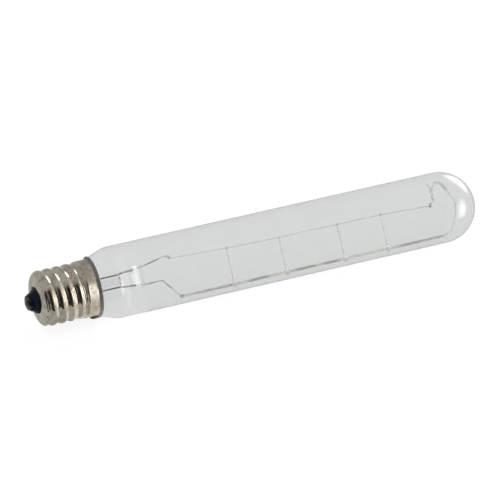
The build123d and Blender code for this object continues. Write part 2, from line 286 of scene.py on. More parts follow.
@dataclass(frozen=True)
class RolledNickel(Finish):
    """Nickel plate: polished smooth where the thread was rolled, satin and stained on the collar, with
    painted shade on the flared lip.
    """

    bright: Colour = (0.64, 0.605, 0.52)
    dull: Colour = (0.46, 0.425, 0.345)
    stain: Colour = (0.3, 0.2, 0.11)
    # A darker colour over the flared lip, between the places below: painted shade of the lip's outer face.
    lip_shade: Colour = (0.27, 0.26, 0.25)
    lip_shade_start: Pair = (19.05, 19.55)
    lip_shade_end: Pair = (20.08, 20.2)
    rolled_roughness: float = 0.13
    satin_roughness: float = 0.4
    satin_from: float = 16.4
    satin_to: float = 17.2

    def paint(self, nodes: NodeBuilder) -> None:
        """Sets up nickel with cloudy wear, brown spots, fine rolling marks and painted shade on the flared
        lip.
        """
        cloud = nodes.steps(nodes.noise(260.0, detail=5.0, distortion=0.6), (0.38, 0.0), (0.66, 1.0))
        spots = nodes.steps(nodes.noise(640.0, detail=5.0, distortion=1.6), (0.54, 0.0), (0.7, 0.85))
        colour = nodes.mix(cloud, self.bright, self.dull)
        spotted = nodes.mix(spots, colour, self.stain)
        place = nodes.coordinate("X")
        # The flared lip is darkened between these places: painted shade.
        near, dull = (x * MM for x in self.lip_shade_start)
        shade_fading, edge = (x * MM for x in self.lip_shade_end)
        start = nodes.steps(place, (near, 0.0), (dull, 1.0))
        end = nodes.steps(place, (shade_fading, 1.0), (edge, 0.0))
        lip = maths(nodes.tree, "MULTIPLY", start, end)
        nodes.link(nodes.mix(lip, spotted, self.lip_shade), "Base Color")
        nodes.set(metallic=1.0)
        satin = nodes.steps(
            place,
            (self.satin_from * MM, self.rolled_roughness),
            (self.satin_to * MM, self.satin_roughness),
        )
        wear = nodes.steps(nodes.noise(900.0, detail=4.0), (0.35, 0.75), (0.7, 1.35))
        nodes.link(maths(nodes.tree, "MULTIPLY", satin, wear), "Roughness")
        nodes.bump(nodes.noise(300.0, detail=3.0), 0.015)
        nodes.bump(nodes.noise(2600.0, detail=2.0, along=(3.0, 0.6, 0.6)), 0.002)


@dataclass(frozen=True)
class BlackInsulator(Finish):
    """Glossy black moulded glass with a bluish depth."""

    deep: Colour = (0.001, 0.001, 0.002)
    lifted: Colour = (0.003, 0.006, 0.016)

    def paint(self, nodes: NodeBuilder) -> None:
        """Sets up glossy black glass."""
        nodes.link(nodes.mix(nodes.noise(500.0, detail=3.0), self.deep, self.lifted), "Base Color")
        nodes.set(specular_ior_level=0.14)
        nodes.link(nodes.steps(nodes.noise(800.0, detail=3.0), (0.35, 0.06), (0.7, 0.2)), "Roughness")
        nodes.bump(nodes.noise(350.0, detail=2.0), 0.04)


@dataclass(frozen=True)
class Metal(Finish):
    """Bare metal with two tones, in a grain that may run along the lamp."""

    light: Colour = (0.5, 0.5, 0.48)
    dark: Colour = (0.2, 0.2, 0.18)
    tone_scale: float = 500.0
    tone_low: float = 0.4
    tone_high: float = 0.65
    roughness_low: float = 0.25
    roughness_high: float = 0.5
    relief: float = 0.01
    grain: Point = (1.0, 1.0, 1.0)

    def paint(self, nodes: NodeBuilder) -> None:
        """Sets up the metal."""
        cloud = nodes.noise(self.tone_scale, detail=4.0, along=self.grain)
        tone = nodes.steps(cloud, (self.tone_low, 0.0), (self.tone_high, 1.0))
        nodes.link(nodes.mix(tone, self.light, self.dark), "Base Color")
        nodes.set(metallic=1.0)
        rough = nodes.noise(self.tone_scale * 1.7, detail=3.0, along=self.grain)
        nodes.link(nodes.steps(rough, (0.35, self.roughness_low), (0.7, self.roughness_high)), "Roughness")
        nodes.bump(nodes.noise(self.tone_scale * 2.4, detail=3.0, along=self.grain), self.relief)


@dataclass(frozen=True)
class RodNickel(Metal):
    """Drawn nickel, made near white on the lower part of the rod's bend round the lamp's end."""

    # Near white, blended in on the bend by place along the lamp and by height.
    whitened: Colour = (1.0, 1.0, 0.98)
    whitening: float = 0.85
    bend_x: Pair = (123.0, 128.5)
    bend_z: Pair = (2.2, 4.2)

    def paint(self, nodes: NodeBuilder) -> None:
        """Sets up the metal, then lightens the bend's lower part."""
        super().paint(nodes)
        drawn = nodes.shader.inputs["Base Color"].links[0].from_socket
        near, far = (x * MM for x in self.bend_x)
        low, high = (z * MM for z in self.bend_z)
        past = nodes.steps(nodes.coordinate("X"), (near, 0.0), (far, self.whitening))
        below = nodes.steps(nodes.coordinate("Z"), (low, 1.0), (high, 0.0))
        bend = maths(nodes.tree, "MULTIPLY", past, below)
        nodes.link(nodes.mix(bend, drawn, self.whitened), "Base Color")


@dataclass(frozen=True)
class MilkyGlass(Finish):
    """Whitish glass of the beads, with light passing a little way in."""

    pale: Colour = (0.86, 0.86, 0.83)
    shade: Colour = (0.66, 0.66, 0.62)

    def paint(self, nodes: NodeBuilder) -> None:
        """Sets up milky glass."""
        nodes.link(nodes.mix(nodes.noise(900.0, detail=3.0), self.pale, self.shade), "Base Color")
        nodes.set(roughness=0.12, ior=1.5, transmission_weight=0.35)
        nodes.bump(nodes.noise(700.0, detail=2.0), 0.02)


@dataclass(frozen=True)
class BakedCement(Finish):
    """Dry sandy cement."""

    pale: Colour = (0.72, 0.66, 0.54)
    brown: Colour = (0.42, 0.33, 0.22)

    def paint(self, nodes: NodeBuilder) -> None:
        """Sets up cement with grains."""
        grains = nodes.steps(nodes.noise(1500.0, detail=5.0), (0.42, 0.0), (0.62, 1.0))
        nodes.link(nodes.mix(grains, self.pale, self.brown), "Base Color")
        nodes.set(roughness=0.9)
        nodes.bump(nodes.noise(2200.0, detail=4.0), 0.06)


ENVELOPE_GLASS = BlownGlass("envelope glass", Slot.CLEAR_GLASS)
INNER_FACE = BlownGlass(
    "envelope's inner face", Slot.CLEAR_GLASS, tint=(0.99, 0.99, 0.99), cloud=(0.97, 0.98, 0.99)
)
STEM_GLASS = BlownGlass(
    "stem glass",
    Slot.STEM_GLASS,
    tint=(1.0, 1.0, 1.0),
    cloud=(0.99, 0.99, 1.0),
    clear=0.99,
    bend=1.07,
    # The milky band over the press is a painted highlight.
    milky=(32.5, 33.6),
)
NICKEL = RolledNickel("rolled nickel plate", Slot.NICKEL_PLATE)
INSULATOR_GLASS = BlackInsulator("black insulator glass", Slot.BLACK_GLASS)
BEAD_GLASS = MilkyGlass("milky bead glass", Slot.BEAD_GLASS)
CEMENT = BakedCement("baked cement", Slot.CEMENT)
CONTACT_BRASS = Metal(
    "contact brass", Slot.CONTACT_METAL, light=(0.13, 0.105, 0.085), dark=(0.03, 0.024, 0.02), relief=0.02
)
SOLDER = Metal("tin solder", Slot.SOLDER, light=(0.2, 0.18, 0.165), dark=(0.05, 0.045, 0.04), relief=0.05)
COPPER = Metal("dulled copper lead", Slot.COPPER_LEAD, light=(0.2, 0.17, 0.15), dark=(0.1, 0.08, 0.075))
SEAL_COPPER = Metal("seal wire copper", Slot.SEAL_WIRE, light=(0.5, 0.42, 0.38), dark=(0.36, 0.28, 0.25))
ROD_WIRE = RodNickel(
    "drawn nickel rod",
    Slot.NICKEL_WIRE,
    light=(0.84, 0.84, 0.77),
    dark=(0.5, 0.5, 0.44),
    grain=(0.35, 1.0, 1.0),
)
LEAD_WIRE = Metal(
    "lead's nickel wire",
    Slot.NICKEL_WIRE,
    light=(0.8, 0.78, 0.78),
    dark=(0.36, 0.34, 0.34),
    grain=(0.6, 1.0, 1.0),
)
CLAMPED_WIRE = Metal(
    "clamped nickel wire", Slot.NICKEL_WIRE, light=(0.72, 0.72, 0.7), dark=(0.48, 0.48, 0.46), relief=0.03
)
# Nickel wire of the twist made near white: a painted highlight for the twist's bright reflections.
BRIGHT_TWIST_WIRE = Metal(
    "pale twisted wire",
    Slot.NICKEL_WIRE,
    light=(1.0, 0.99, 0.95),
    dark=(0.86, 0.83, 0.76),
    roughness_high=0.7,
)
TUNGSTEN = Metal("coiled tungsten", Slot.TUNGSTEN, light=(0.84, 0.85, 0.85), dark=(0.62, 0.63, 0.63))
HOOK_WIRE = Metal("support wire", Slot.SUPPORT_WIRE, light=(0.82, 0.82, 0.8), dark=(0.55, 0.55, 0.53))


# Outlines and meshes


def rounded(points: Sequence[Pair], radii: Sequence[float], step: float = 7.5) -> Outline:
    """Rounds the corners of a run of straight lines with arcs.

    Args:
        points: The corners, in order, with both ends.
        radii: The arc's radius at each corner between the ends, 0 for a sharp one.
        step: The turn between two points of an arc, in degrees.

    Returns:
        The points of the rounded line.
    """
    line = [points[0]]
    for before, corner, after, radius in zip(points, points[1:], points[2:], radii):
        if radius <= 0:
            line.append(corner)
            continue
        here = np.array(corner, float)
        back = np.array(before, float) - here
        ahead = np.array(after, float) - here
        back /= np.linalg.norm(back)
        ahead /= np.linalg.norm(ahead)
        half = math.acos(float(np.clip(back @ ahead, -1.0, 1.0))) / 2
        middle = (back + ahead) / np.linalg.norm(back + ahead)
        centre = here + middle * radius / math.sin(half)
        start = here + back * radius / math.tan(half) - centre
        end = here + ahead * radius / math.tan(half) - centre
        turn = math.atan2(start[0] * end[1] - start[1] * end[0], float(start @ end))
        count = max(2, round(abs(math.degrees(turn)) / step) + 1)
        for angle in np.linspace(0.0, turn, count):
            cos, sin = math.cos(angle), math.sin(angle)
            line.append(
                (
                    float(centre[0] + start[0] * cos - start[1] * sin),
                    float(centre[1] + start[0] * sin + start[1] * cos),
                )
            )
    line.append(points[-1])
    return line


def arc(centre: Pair, radii: Pair, start: float, end: float, count: int) -> Outline:
    """Lays points on an ellipse's arc.

    Args:
        centre: The ellipse's centre.
        radii: Its half widths along the two axes.
        start: The first point's angle, in degrees.
        end: The last point's angle, in degrees.
        count: How many points.

    Returns:
        The points.
    """
    return [
        (centre[0] + radii[0] * math.cos(a), centre[1] + radii[1] * math.sin(a))
        for a in np.radians(np.linspace(start, end, count))
    ]


def spaced(line: Sequence[Pair], longest: float) -> Outline:
    """Divides the long runs of a line.

    Args:
        line: The line's points.
        longest: The longest run that is left whole.

    Returns:
        The points of the divided line.
    """
    result = [line[0]]
    for before, after in zip(line, line[1:]):
        count = max(1, math.ceil(math.dist(before, after) / longest))
        for share in np.linspace(0.0, 1.0, count + 1)[1:]:
            result.append(
                (before[0] + (after[0] - before[0]) * share, before[1] + (after[1] - before[1]) * share)
            )
    return result


def offsets(start: Pair, steps: Iterable[Pair]) -> Outline:
    """Returns the points at some offsets from a point."""
    return [(start[0] + along, start[1] + rise) for along, rise in steps]


def eased(share: float) -> float:
    """Returns a share from 0 to 1 with a soft start and end."""
    share = min(1.0, max(0.0, share))
    return share * share * (3.0 - 2.0 * share)


def wander(point: Point, scale: float, seed: float) -> float:
    """Returns smooth noise from -1 to 1 at a point, with waves of about the scale."""
    return noise.noise(Vector(point) / scale + Vector((seed, -seed, seed * 0.5)))


def wander_round(x: float, radius: float, angle: float, scale: float, seed: float) -> float:
    """Returns the same noise at a place, a radius and an angle about the lamp's axis."""
    return wander((x, radius * math.sin(angle), radius * math.cos(angle)), scale, seed)


def ring_faces(rings: Sequence[Sequence[int]], segments: int, closed: bool = False) -> list[tuple[int, ...]]:
    """Joins rings of points with faces.

    Args:
        rings: The point numbers of each ring.
        segments: Points in a whole ring.
        closed: Whether the last ring joins the first one.

    Returns:
        The faces, with a fan where a ring is a single point.
    """
    pairs = list(zip(rings, rings[1:]))
    if closed:
        pairs.append((rings[-1], rings[0]))
    faces: list[tuple[int, ...]] = []
    for one, other in pairs:
        if len(one) == 1 and len(other) == 1:
            continue
        for number in range(segments):
            after = (number + 1) % segments
            if len(one) == 1:
                faces.append((one[0], other[number], other[after]))
            elif len(other) == 1:
                faces.append((one[number], other[0], one[after]))
            else:
                faces.append((one[number], other[number], other[after], one[after]))
    return faces


def put(name: str, data: bpy.types.ID) -> bpy.types.Object:
    """Makes an object of its data and links it into the scene."""
    placed = bpy.data.objects.new(name, data)
    bpy.context.scene.collection.objects.link(placed)
    return placed


def new_object(
    name: str, vertices: Iterable[Sequence[float]], faces: Iterable[Sequence[int]]
) -> bpy.types.Object:
    """Makes a smooth mesh object with its faces outwards.

    Args:
        name: The piece's name.
        vertices: Its points, in millimetres.
        faces: Its faces, by point numbers.

    Returns:
        The object, at the origin.
    """
    mesh = bpy.data.meshes.new(name)
    mesh.from_pydata([tuple(c * MM for c in v) for v in vertices], [], [tuple(f) for f in faces])
    work = bmesh.new()
    work.from_mesh(mesh)
    bmesh.ops.recalc_face_normals(work, faces=work.faces)
    work.to_mesh(mesh)
    work.free()
    mesh.shade_smooth()
    return put(name, mesh)


def merge(name: str, pieces: Sequence[bpy.types.Object]) -> bpy.types.Object:
    """Joins pieces into one that keeps their materials.

    Args:
        name: The joined piece's name.
        pieces: The pieces, which are used up.

    Returns:
        The piece.
    """
    mesh = bpy.data.meshes.new(name)
    work = bmesh.new()
    done = 0
    for number, piece in enumerate(pieces):
        work.from_mesh(piece.data)
        work.faces.ensure_lookup_table()
        for face in work.faces[done:]:
            face.material_index = number
            face.smooth = True
        done = len(work.faces)
        mesh.materials.append(piece.data.materials[0])
        bpy.data.objects.remove(piece)
    work.to_mesh(mesh)
    work.free()
    return put(name, mesh)


RadiusRule = Callable[[int, float, float, float], float]
PointRule = Callable[[int, float, float, float], Point]


def ringed(
    name: str, outline: Sequence[Pair], segments: int, point: PointRule, closed: bool = False
) -> bpy.types.Object:
    """Makes a piece of rings, one for each point of an outline.

    Args:
        name: The piece's name.
        outline: Places and radii. Points of radius 0 become poles.
        segments: Points in a ring.
        point: Gives a ring's point from the station's number, its place, its radius and the angle.
        closed: Whether the last ring joins the first one.

    Returns:
        The object.
    """
    vertices: list[Point] = []
    rings: list[range] = []
    for station, (x, radius) in enumerate(outline):
        first = len(vertices)
        if abs(radius) < 1e-6:
            vertices.append((x, 0.0, 0.0))
        else:
            vertices += [point(station, x, radius, TAU * n / segments) for n in range(segments)]
        rings.append(range(first, len(vertices)))
    return new_object(name, vertices, ring_faces(rings, segments, closed))


def lathe(
    name: str,
    outline: Sequence[Pair],
    segments: int,
    rule: RadiusRule | None = None,
    closed: bool = False,
) -> bpy.types.Object:
    """Turns an outline about the lamp's axis.

    Args:
        name: The piece's name.
        outline: Places and radii. Points of radius 0 become poles.
        segments: Steps round the axis.
        rule: Gives the radius from a station's number, its place, its radius and the angle from +Z
            towards -Y.
        closed: Whether the last point joins the first one.

    Returns:
        The object.
    """

    def point(station: int, x: float, radius: float, angle: float) -> Point:
        """Returns a ring's point, with the rule's radius."""
        r = rule(station, x, radius, angle) if rule else radius
        return (x, -r * math.sin(angle), r * math.cos(angle))

    return ringed(name, outline, segments, point, closed)


def lumpy_ball(
    name: str, lumps: float, wave: float, seed: float, place: Callable[[float, float, float, float], Point]
) -> bpy.types.Object:
    """Makes an uneven ball and stretches it into its place.

    Args:
        name: The piece's name.
        lumps: How uneven it is, as a share of its size.
        wave: The length of its lumps.
        seed: Which lumps it has.
        place: Gives a point's place from its three coordinates on a ball of radius 1 and its swelling.

    Returns:
        The object.
    """
    ball = lathe(name, arc((0.0, 0.0), (1.0, 1.0), 180.0, 0.0, 25), 40)
    for vertex in ball.data.vertices:
        along, side, up = vertex.co / MM
        swell = 1.0 + lumps * wander((along * 2.0, side * 2.0, up * 2.0), wave, seed)
        vertex.co = Vector(place(along, side, up, swell)) * MM
    return ball


# Geometry Nodes


class NodeForm:
    """Builds one Geometry Nodes tree, with named inputs, and makes plain meshes with it."""

    def __init__(self, name: str, sizes: dict[str, float | int], material: bpy.types.Material) -> None:
        """Starts a tree.

        Args:
            name: The tree's name.
            sizes: The named inputs and their values. Whole numbers become integer inputs.
            material: What the tree's Set Material gives.
        """
        self.tree = bpy.data.node_groups.new(name, "GeometryNodeTree")
        self.tree.interface.new_socket("Geometry", in_out="INPUT", socket_type="NodeSocketGeometry")
        self.sockets = {}
        for key, value in sizes.items():
            kind = "NodeSocketInt" if isinstance(value, int) else "NodeSocketFloat"
            self.sockets[key] = self.tree.interface.new_socket(key, in_out="INPUT", socket_type=kind)
        self.tree.interface.new_socket("Geometry", in_out="OUTPUT", socket_type="NodeSocketGeometry")
        self.inputs = self.tree.nodes.new("NodeGroupInput")
        self.sizes = sizes
        self.material = material

    def add(
        self, kind: str, links: dict[str | int, object] | None = None, **settings: object
    ) -> bpy.types.NodeSocket:
        """Adds a node, as add_node does, and returns its first output."""
        return add_node(self.tree, kind, links, **settings).outputs[0]

    def vector(self, how: str, links: dict[str | int, object]) -> bpy.types.NodeSocket:
        """Adds a Vector Math node and returns its result."""
        return self.add("ShaderNodeVectorMath", links, operation=how)

    def size(self, name: str) -> bpy.types.NodeSocket:
        """Returns the socket of a named input."""
        return self.inputs.outputs[name]

    def sweep(self, step: bpy.types.NodeSocket, offset: bpy.types.NodeSocket, sides: int) -> None:
        """Ends the tree: a round wire along the path, smooth and in the tree's material.

        Args:
            step: From one point of the path to the next.
            offset: How far each point is moved.
            sides: The wire's sides.
        """
        run = {"Curve": self.size("Geometry"), "Length": step}
        even = self.add("GeometryNodeResampleCurve", run, mode="LENGTH")
        moved = self.add("GeometryNodeSetPosition", {"Geometry": even, "Offset": offset})
        circle = {"Resolution": sides, "Radius": self.size("Wire radius")}
        section = self.add("GeometryNodeCurvePrimitiveCircle", circle)
        wire = {"Curve": moved, "Profile Curve": section, "Fill Caps": True}
        swept = self.add("GeometryNodeCurveToMesh", wire)
        smooth = self.add("GeometryNodeSetShadeSmooth", {"Geometry": swept})
        real = self.add("GeometryNodeRealizeInstances", {"Geometry": smooth})
        dressed = self.add("GeometryNodeSetMaterial", {"Geometry": real, "Material": self.material})
        add_node(self.tree, "NodeGroupOutput", {0: dressed})

    def grow(self, name: str, path: bpy.types.Object) -> bpy.types.Object:
        """Runs the tree on a path and keeps the plain mesh.

        Args:
            name: The piece's name.
            path: A curve object, which is used up.

        Returns:
            The piece.
        """
        modifier = path.modifiers.new("form", "NODES")
        modifier.node_group = self.tree
        for key, value in self.sizes.items():
            modifier[self.sockets[key].identifier] = value
        bpy.context.view_layer.update()
        evaluated = path.evaluated_get(bpy.context.evaluated_depsgraph_get())
        mesh = bpy.data.meshes.new_from_object(evaluated)
        mesh.name = name
        piece = put(name, mesh)
        path.modifiers.clear()
        bpy.data.objects.remove(path)
        return piece


def curve_path(points: Sequence[Point]) -> bpy.types.Object:
    """Makes a curve of straight runs.

    Args:
        points: What it runs through, in millimetres.

    Returns:
        The curve object.
    """
    data = bpy.data.curves.new("path", "CURVE")
    data.dimensions = "3D"
    spline = data.splines.new("POLY")
    spline.points.add(len(points) - 1)
    for knot, point in zip(spline.points, points):
        knot.co = (*(c * MM for c in point), 1.0)
    return put("path", data)


WIRE_STEP = 0.25
WIRE_SIDES = 14
KINKS_TO_A_METRE = 160.0
COIL_SIDES = 5
POINTS_TO_A_TURN = 10


def wire_form(radius: float, finish: Finish, kink: float = 0.0, seed: int = 0) -> NodeForm:
    """Builds the tree for a drawn wire that follows a path.

    Args:
        radius: The wire's radius, in millimetres.
        finish: Its finish.
        kink: How far it strays from the path, in millimetres.
        seed: Which way it strays.

    Returns:
        The tree.
    """
    sizes = {"Wire radius": radius * MM, "Step": WIRE_STEP * MM, "Kink": kink * MM, "Seed": seed}
    form = NodeForm(f"wire {finish.name} {radius:g} {seed}", sizes, finish.material())
    waves = {"W": form.size("Seed"), "Scale": KINKS_TO_A_METRE, "Detail": 1.0}
    stray = add_node(form.tree, "ShaderNodeTexNoise", waves, noise_dimensions="4D").outputs["Color"]
    centred = form.vector("SUBTRACT", {0: stray, 1: (0.5, 0.5, 0.5)})
    scaled = form.vector("SCALE", {0: centred, "Scale": form.size("Kink")})
    form.sweep(form.size("Step"), scaled, WIRE_SIDES)
    return form


def coil_form(radius: float, wire_radius: float, pitch: float, finish: Finish) -> NodeForm:
    """Builds the tree for a coil of fine wire wound about a path.

    Args:
        radius: The coil's radius to the middle of its wire, in millimetres.
        wire_radius: The wire's radius.
        pitch: From one turn to the next.
        finish: Its finish.

    Returns:
        The tree.
    """
    sizes = {
        "Coil radius": radius * MM,
        "Wire radius": wire_radius * MM,
        "Pitch": pitch * MM,
        "Points to a turn": POINTS_TO_A_TURN,
    }
    form = NodeForm("coil", sizes, finish.material())
    tree, to_a_turn = form.tree, form.size("Points to a turn")
    step = maths(tree, "DIVIDE", form.size("Pitch"), to_a_turn)
    number = form.add("GeometryNodeInputIndex")
    turned = maths(tree, "MULTIPLY", maths(tree, "DIVIDE", number, to_a_turn), TAU)
    tangent = form.add("GeometryNodeInputTangent")
    side = form.vector("NORMALIZE", {0: form.vector("CROSS_PRODUCT", {0: tangent, 1: (0.0, 0.0, 1.0)})})
    rise = form.vector("CROSS_PRODUCT", {0: side, 1: tangent})
    offsets = []
    for direction, wave in ((side, "COSINE"), (rise, "SINE")):
        reach = maths(tree, "MULTIPLY", maths(tree, wave, turned), form.size("Coil radius"))
        offsets.append(form.vector("SCALE", {0: direction, "Scale": reach}))
    form.sweep(step, form.vector("ADD", dict(enumerate(offsets))), COIL_SIDES)
    return form


# The lamp


def settle(piece: bpy.types.Object, finish: Finish | None, slot: Slot, *nodes: str) -> None:
    """Sets a piece on the body.

    Args:
        piece: The piece.
        finish: Its finish, unless its parts have their own already.
        slot: The record's slot for it; not used.
        nodes: The nodes of the frame that it stands for.
    """
    if finish is not None:
        finish.dress(piece)
    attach(piece, BODY)
    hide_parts(*nodes)
    log.info("%s: %d points, for %s", piece.name, len(piece.data.vertices), ", ".join(nodes))


@dataclass(frozen=True)
class LampPlan:
    """Places and radii that the frame fixes, in millimetres."""

    cap_x: float
    rim_x: float
    lip_radius: float
    seal_x: float
    end_x: float
    tube_radius: float
    press_end_x: float
    coil_start_x: float
    coil_end_x: float

    @classmethod
    def from_frame(cls) -> "LampPlan":
        """Reads the plan from the boxes of the fixed nodes.

        Returns:
            The plan.
        """
        shell_low, shell_high = (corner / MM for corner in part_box("screw_shell"))
        glass_low, glass_high = (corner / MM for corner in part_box("glass_bulb"))
        coil_low, coil_high = (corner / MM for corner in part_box("filament"))
        stem_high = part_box("stem")[1] / MM
        return cls(
            cap_x=shell_low.x,
            rim_x=shell_high.x,
            lip_radius=shell_high.y,
            seal_x=glass_low.x,
            end_x=glass_high.x,
            tube_radius=glass_high.y,
            press_end_x=stem_high.x,
            coil_start_x=coil_low.x,
            coil_end_x=coil_high.x,
        )


@dataclass(frozen=True)
class Mount:
    """The plane that the filament, the leads and the rod stand in, turned about the lamp's axis."""

    turn: float = 36.4

    def at(self, x: float, rise: float, depth: float = 0.0) -> Point:
        """Places a point of the mount in the frame.

        Args:
            x: Its place along the lamp.
            rise: Its height above the axis in the mount's plane.
            depth: How far it stands out of the plane, to the side that the photograph shows.

        Returns:
            The point of the frame.
        """
        cos, sin = math.cos(math.radians(self.turn)), math.sin(math.radians(self.turn))
        return (x, rise * sin - depth * cos, rise * cos + depth * sin)

    def along(self, line: Sequence[Pair]) -> list[Point]:
        """Returns a line of the mount's plane as points of the frame."""
        return [self.at(x, rise) for x, rise in line]


@dataclass
class Envelope:
    """The blown glass: neck, mouth, cone, tube and round end."""

    plan: LampPlan
    wall: float = 0.45
    neck_radius: float = 6.6
    mouth_radius: float = 8.36
    mouth_back: float = 1.7
    cone_length: float = 5.4
    cone_blend: float = 9.2
    mouth_blend: float = 2.0
    neck_blend: float = 1.4
    ripple: float = 0.006
    ripple_length: float = 14.0
    segments: int = 160
    ring_gap: float = 1.6
    dome_steps: int = 32

    def outline(self, inset: float) -> Outline:
        """Draws the glass's side line from the seal to the tip.

        Args:
            inset: How far the line lies under the outer face.

        Returns:
            Places and radii.
        """
        plan = self.plan
        dome_x = plan.end_x - plan.tube_radius
        side = rounded(
            [
                (plan.seal_x, self.neck_radius - inset),
                (plan.rim_x - self.mouth_back, self.neck_radius - inset),
                (plan.rim_x, self.mouth_radius - inset),
                (plan.rim_x + self.cone_length, plan.tube_radius - inset),
                (dome_x, plan.tube_radius - inset),
            ],
            [self.neck_blend + inset, self.mouth_blend - inset, self.cone_blend - inset],
            step=3.0,
        )
        radius = plan.tube_radius - inset
        tip = arc((dome_x, 0.0), (radius, radius), 90.0, 0.0, self.dome_steps)[1:]
        tip[-1] = (tip[-1][0], 0.0)
        return spaced(side, self.ring_gap) + tip

    def build(self) -> None:
        """Builds the envelope with slow ripples in both faces."""
        outer = self.outline(0.0)
        inner = self.outline(self.wall)
        outline = outer[::-1] + inner
        split = len(outer)

        def rippled(station: int, x: float, radius: float, angle: float) -> float:
            """Returns the radius less its ripple, which the outer face has only inwards."""
            seed = 3.0 if station < split else 11.0
            stray = wander_round(x, radius, angle, self.ripple_length, seed)
            inward = 0.5 + 0.5 * stray if station < split else stray
            return radius - self.ripple * inward * min(1.0, radius / self.neck_radius)

        piece = lathe("glass_envelope", outline, self.segments, rippled)
        piece.visible_shadow = False
        settle(piece, ENVELOPE_GLASS, Slot.CLEAR_GLASS, "glass_bulb")
        piece.data.materials.append(INNER_FACE.material())
        for polygon in piece.data.polygons[self.segments * split:]:
            polygon.material_index = 1


@dataclass
class ScrewShell:
    """The cap's shell, rolled from thin sheet: rounded end, thread, collar and flared lip."""

    plan: LampPlan
    sheet: float = 0.3
    crest_radius: float = 8.225
    root_radius: float = 7.55
    pitch: float = 2.822
    first_crest: float = 2.335
    crest_breadth: float = 0.72
    hole_radius: float = 3.9
    end_flat_radius: float = 5.0
    end_curve: float = 2.5
    collar_radius: float = 8.175
    collar_length: float = 3.85
    run_in: float = 0.5
    lip_shift: float = 0.3
    lip_flare: float = 46.0
    lip_bends: tuple[float, ...] = (0.5, 0.1, 0.1, 0.4, 0.3, 0.3, 2.0, 0.8)
    hole_edge: Pair = (0.04, 0.06)
    end_turn: Pair = (4.0, 88.0)
    end_steps: int = 22
    collar_step: float = 0.05
    outline_gap: float = 0.4
    dent: float = 0.02
    dent_length: float = 3.2
    end_blend: float = 0.25
    segments: int = 216
    thread_step: float = 0.115

    @property
    def collar_x(self) -> float:
        """Where the thread ends and the collar starts."""
        return self.plan.rim_x - self.collar_length

    @property
    def rim_x(self) -> float:
        """Where the lip's edge ends, over the start of the glass's cone."""
        return self.plan.rim_x + self.lip_shift

    def thread(self, x: float, angle: float) -> float:
        """Returns the thread's outer radius at a place and an angle from +Z towards -Y."""
        start = self.plan.cap_x + self.first_crest
        lift = 0.5 + 0.5 * math.cos(angle - TAU * (x - start) / self.pitch)
        return self.root_radius + (self.crest_radius - self.root_radius) * lift**self.crest_breadth

    def end_limit(self, x: float) -> float:
        """Returns the radius of the rounded end at a place."""
        back = max(0.0, self.plan.cap_x + self.end_curve - x) / self.end_curve
        reach = self.crest_radius - self.end_flat_radius
        return self.end_flat_radius + reach * math.sqrt(max(0.0, 1.0 - back * back))

    def radius(self, x: float, angle: float) -> float:
        """Works out the shell's outer radius between the end flat and the collar.

        Args:
            x: The place.
            angle: The angle from +Z towards -Y.

        Returns:
            The radius.
        """
        thread = self.thread(x, angle)
        thread += (self.collar_radius - thread) * eased((x - self.collar_x + self.run_in) / self.run_in)
        limit = self.end_limit(x)
        gap = (thread - limit) / self.end_blend
        return limit - self.end_blend * math.log1p(math.exp(-gap)) if gap < 30.0 else limit

    def outline(self) -> tuple[Outline, int, int]:
        """Draws the shell's section as a closed line.

        Returns:
            The line, the number of its first threaded station and the number after the last one.
        """
        plan = self.plan
        slope = math.tan(math.radians(self.lip_flare))
        lean = math.sin(math.radians(self.lip_flare))
        edge_x = self.rim_x - self.sheet * lean
        foot_x = edge_x - (plan.lip_radius - self.collar_radius) / slope
        inner_lip = plan.lip_radius - self.sheet * math.cos(math.radians(self.lip_flare))
        inner_foot_x = self.rim_x - (inner_lip - self.collar_radius + self.sheet) / slope
        inset, widening = self.hole_edge
        flat = [(plan.cap_x + inset, self.hole_radius), (plan.cap_x, self.hole_radius + widening)]
        turn = np.radians(np.linspace(*self.end_turn, self.end_steps))
        curve_x = plan.cap_x + self.end_curve * (1.0 - np.cos(turn))
        count = round((self.collar_x - curve_x[-1]) / self.thread_step)
        thread_x = np.concatenate([curve_x, np.linspace(curve_x[-1], self.collar_x, count)[1:]])
        first = len(flat) + 1
        outer = flat + [(plan.cap_x, self.end_flat_radius)] + [(float(x), 1.0) for x in thread_x]
        last = len(outer)
        lip = rounded(
            [
                (self.collar_x + self.collar_step, self.collar_radius),
                (foot_x, self.collar_radius),
                (edge_x, plan.lip_radius),
                (self.rim_x, inner_lip),
                (inner_foot_x, self.collar_radius - self.sheet),
                (self.collar_x, self.collar_radius - self.sheet),
                (self.collar_x - self.run_in, self.root_radius - self.sheet),
                (plan.cap_x + self.end_curve, self.root_radius - self.sheet),
                (plan.cap_x + self.sheet, self.end_flat_radius),
                (plan.cap_x + self.sheet, self.hole_radius),
            ],
            self.lip_bends,
            step=10.0,
        )
        return outer + spaced(lip, self.outline_gap), first, last

    def build(self) -> None:
        """Builds the shell with its thread and shallow dents."""
        outline, first, last = self.outline()

        def formed(station: int, x: float, radius: float, angle: float) -> float:
            """Returns the shell's radius with its dents, from the thread where there is one."""
            if first <= station < last:
                radius = self.radius(x, angle)
            stray = wander_round(x, radius, angle, self.dent_length, seed=7.0)
            return radius - self.dent * (0.5 + 0.5 * stray)

        piece = lathe("rolled_screw_shell", outline, self.segments, formed, closed=True)
        settle(piece, NICKEL, Slot.NICKEL_PLATE, "screw_shell")


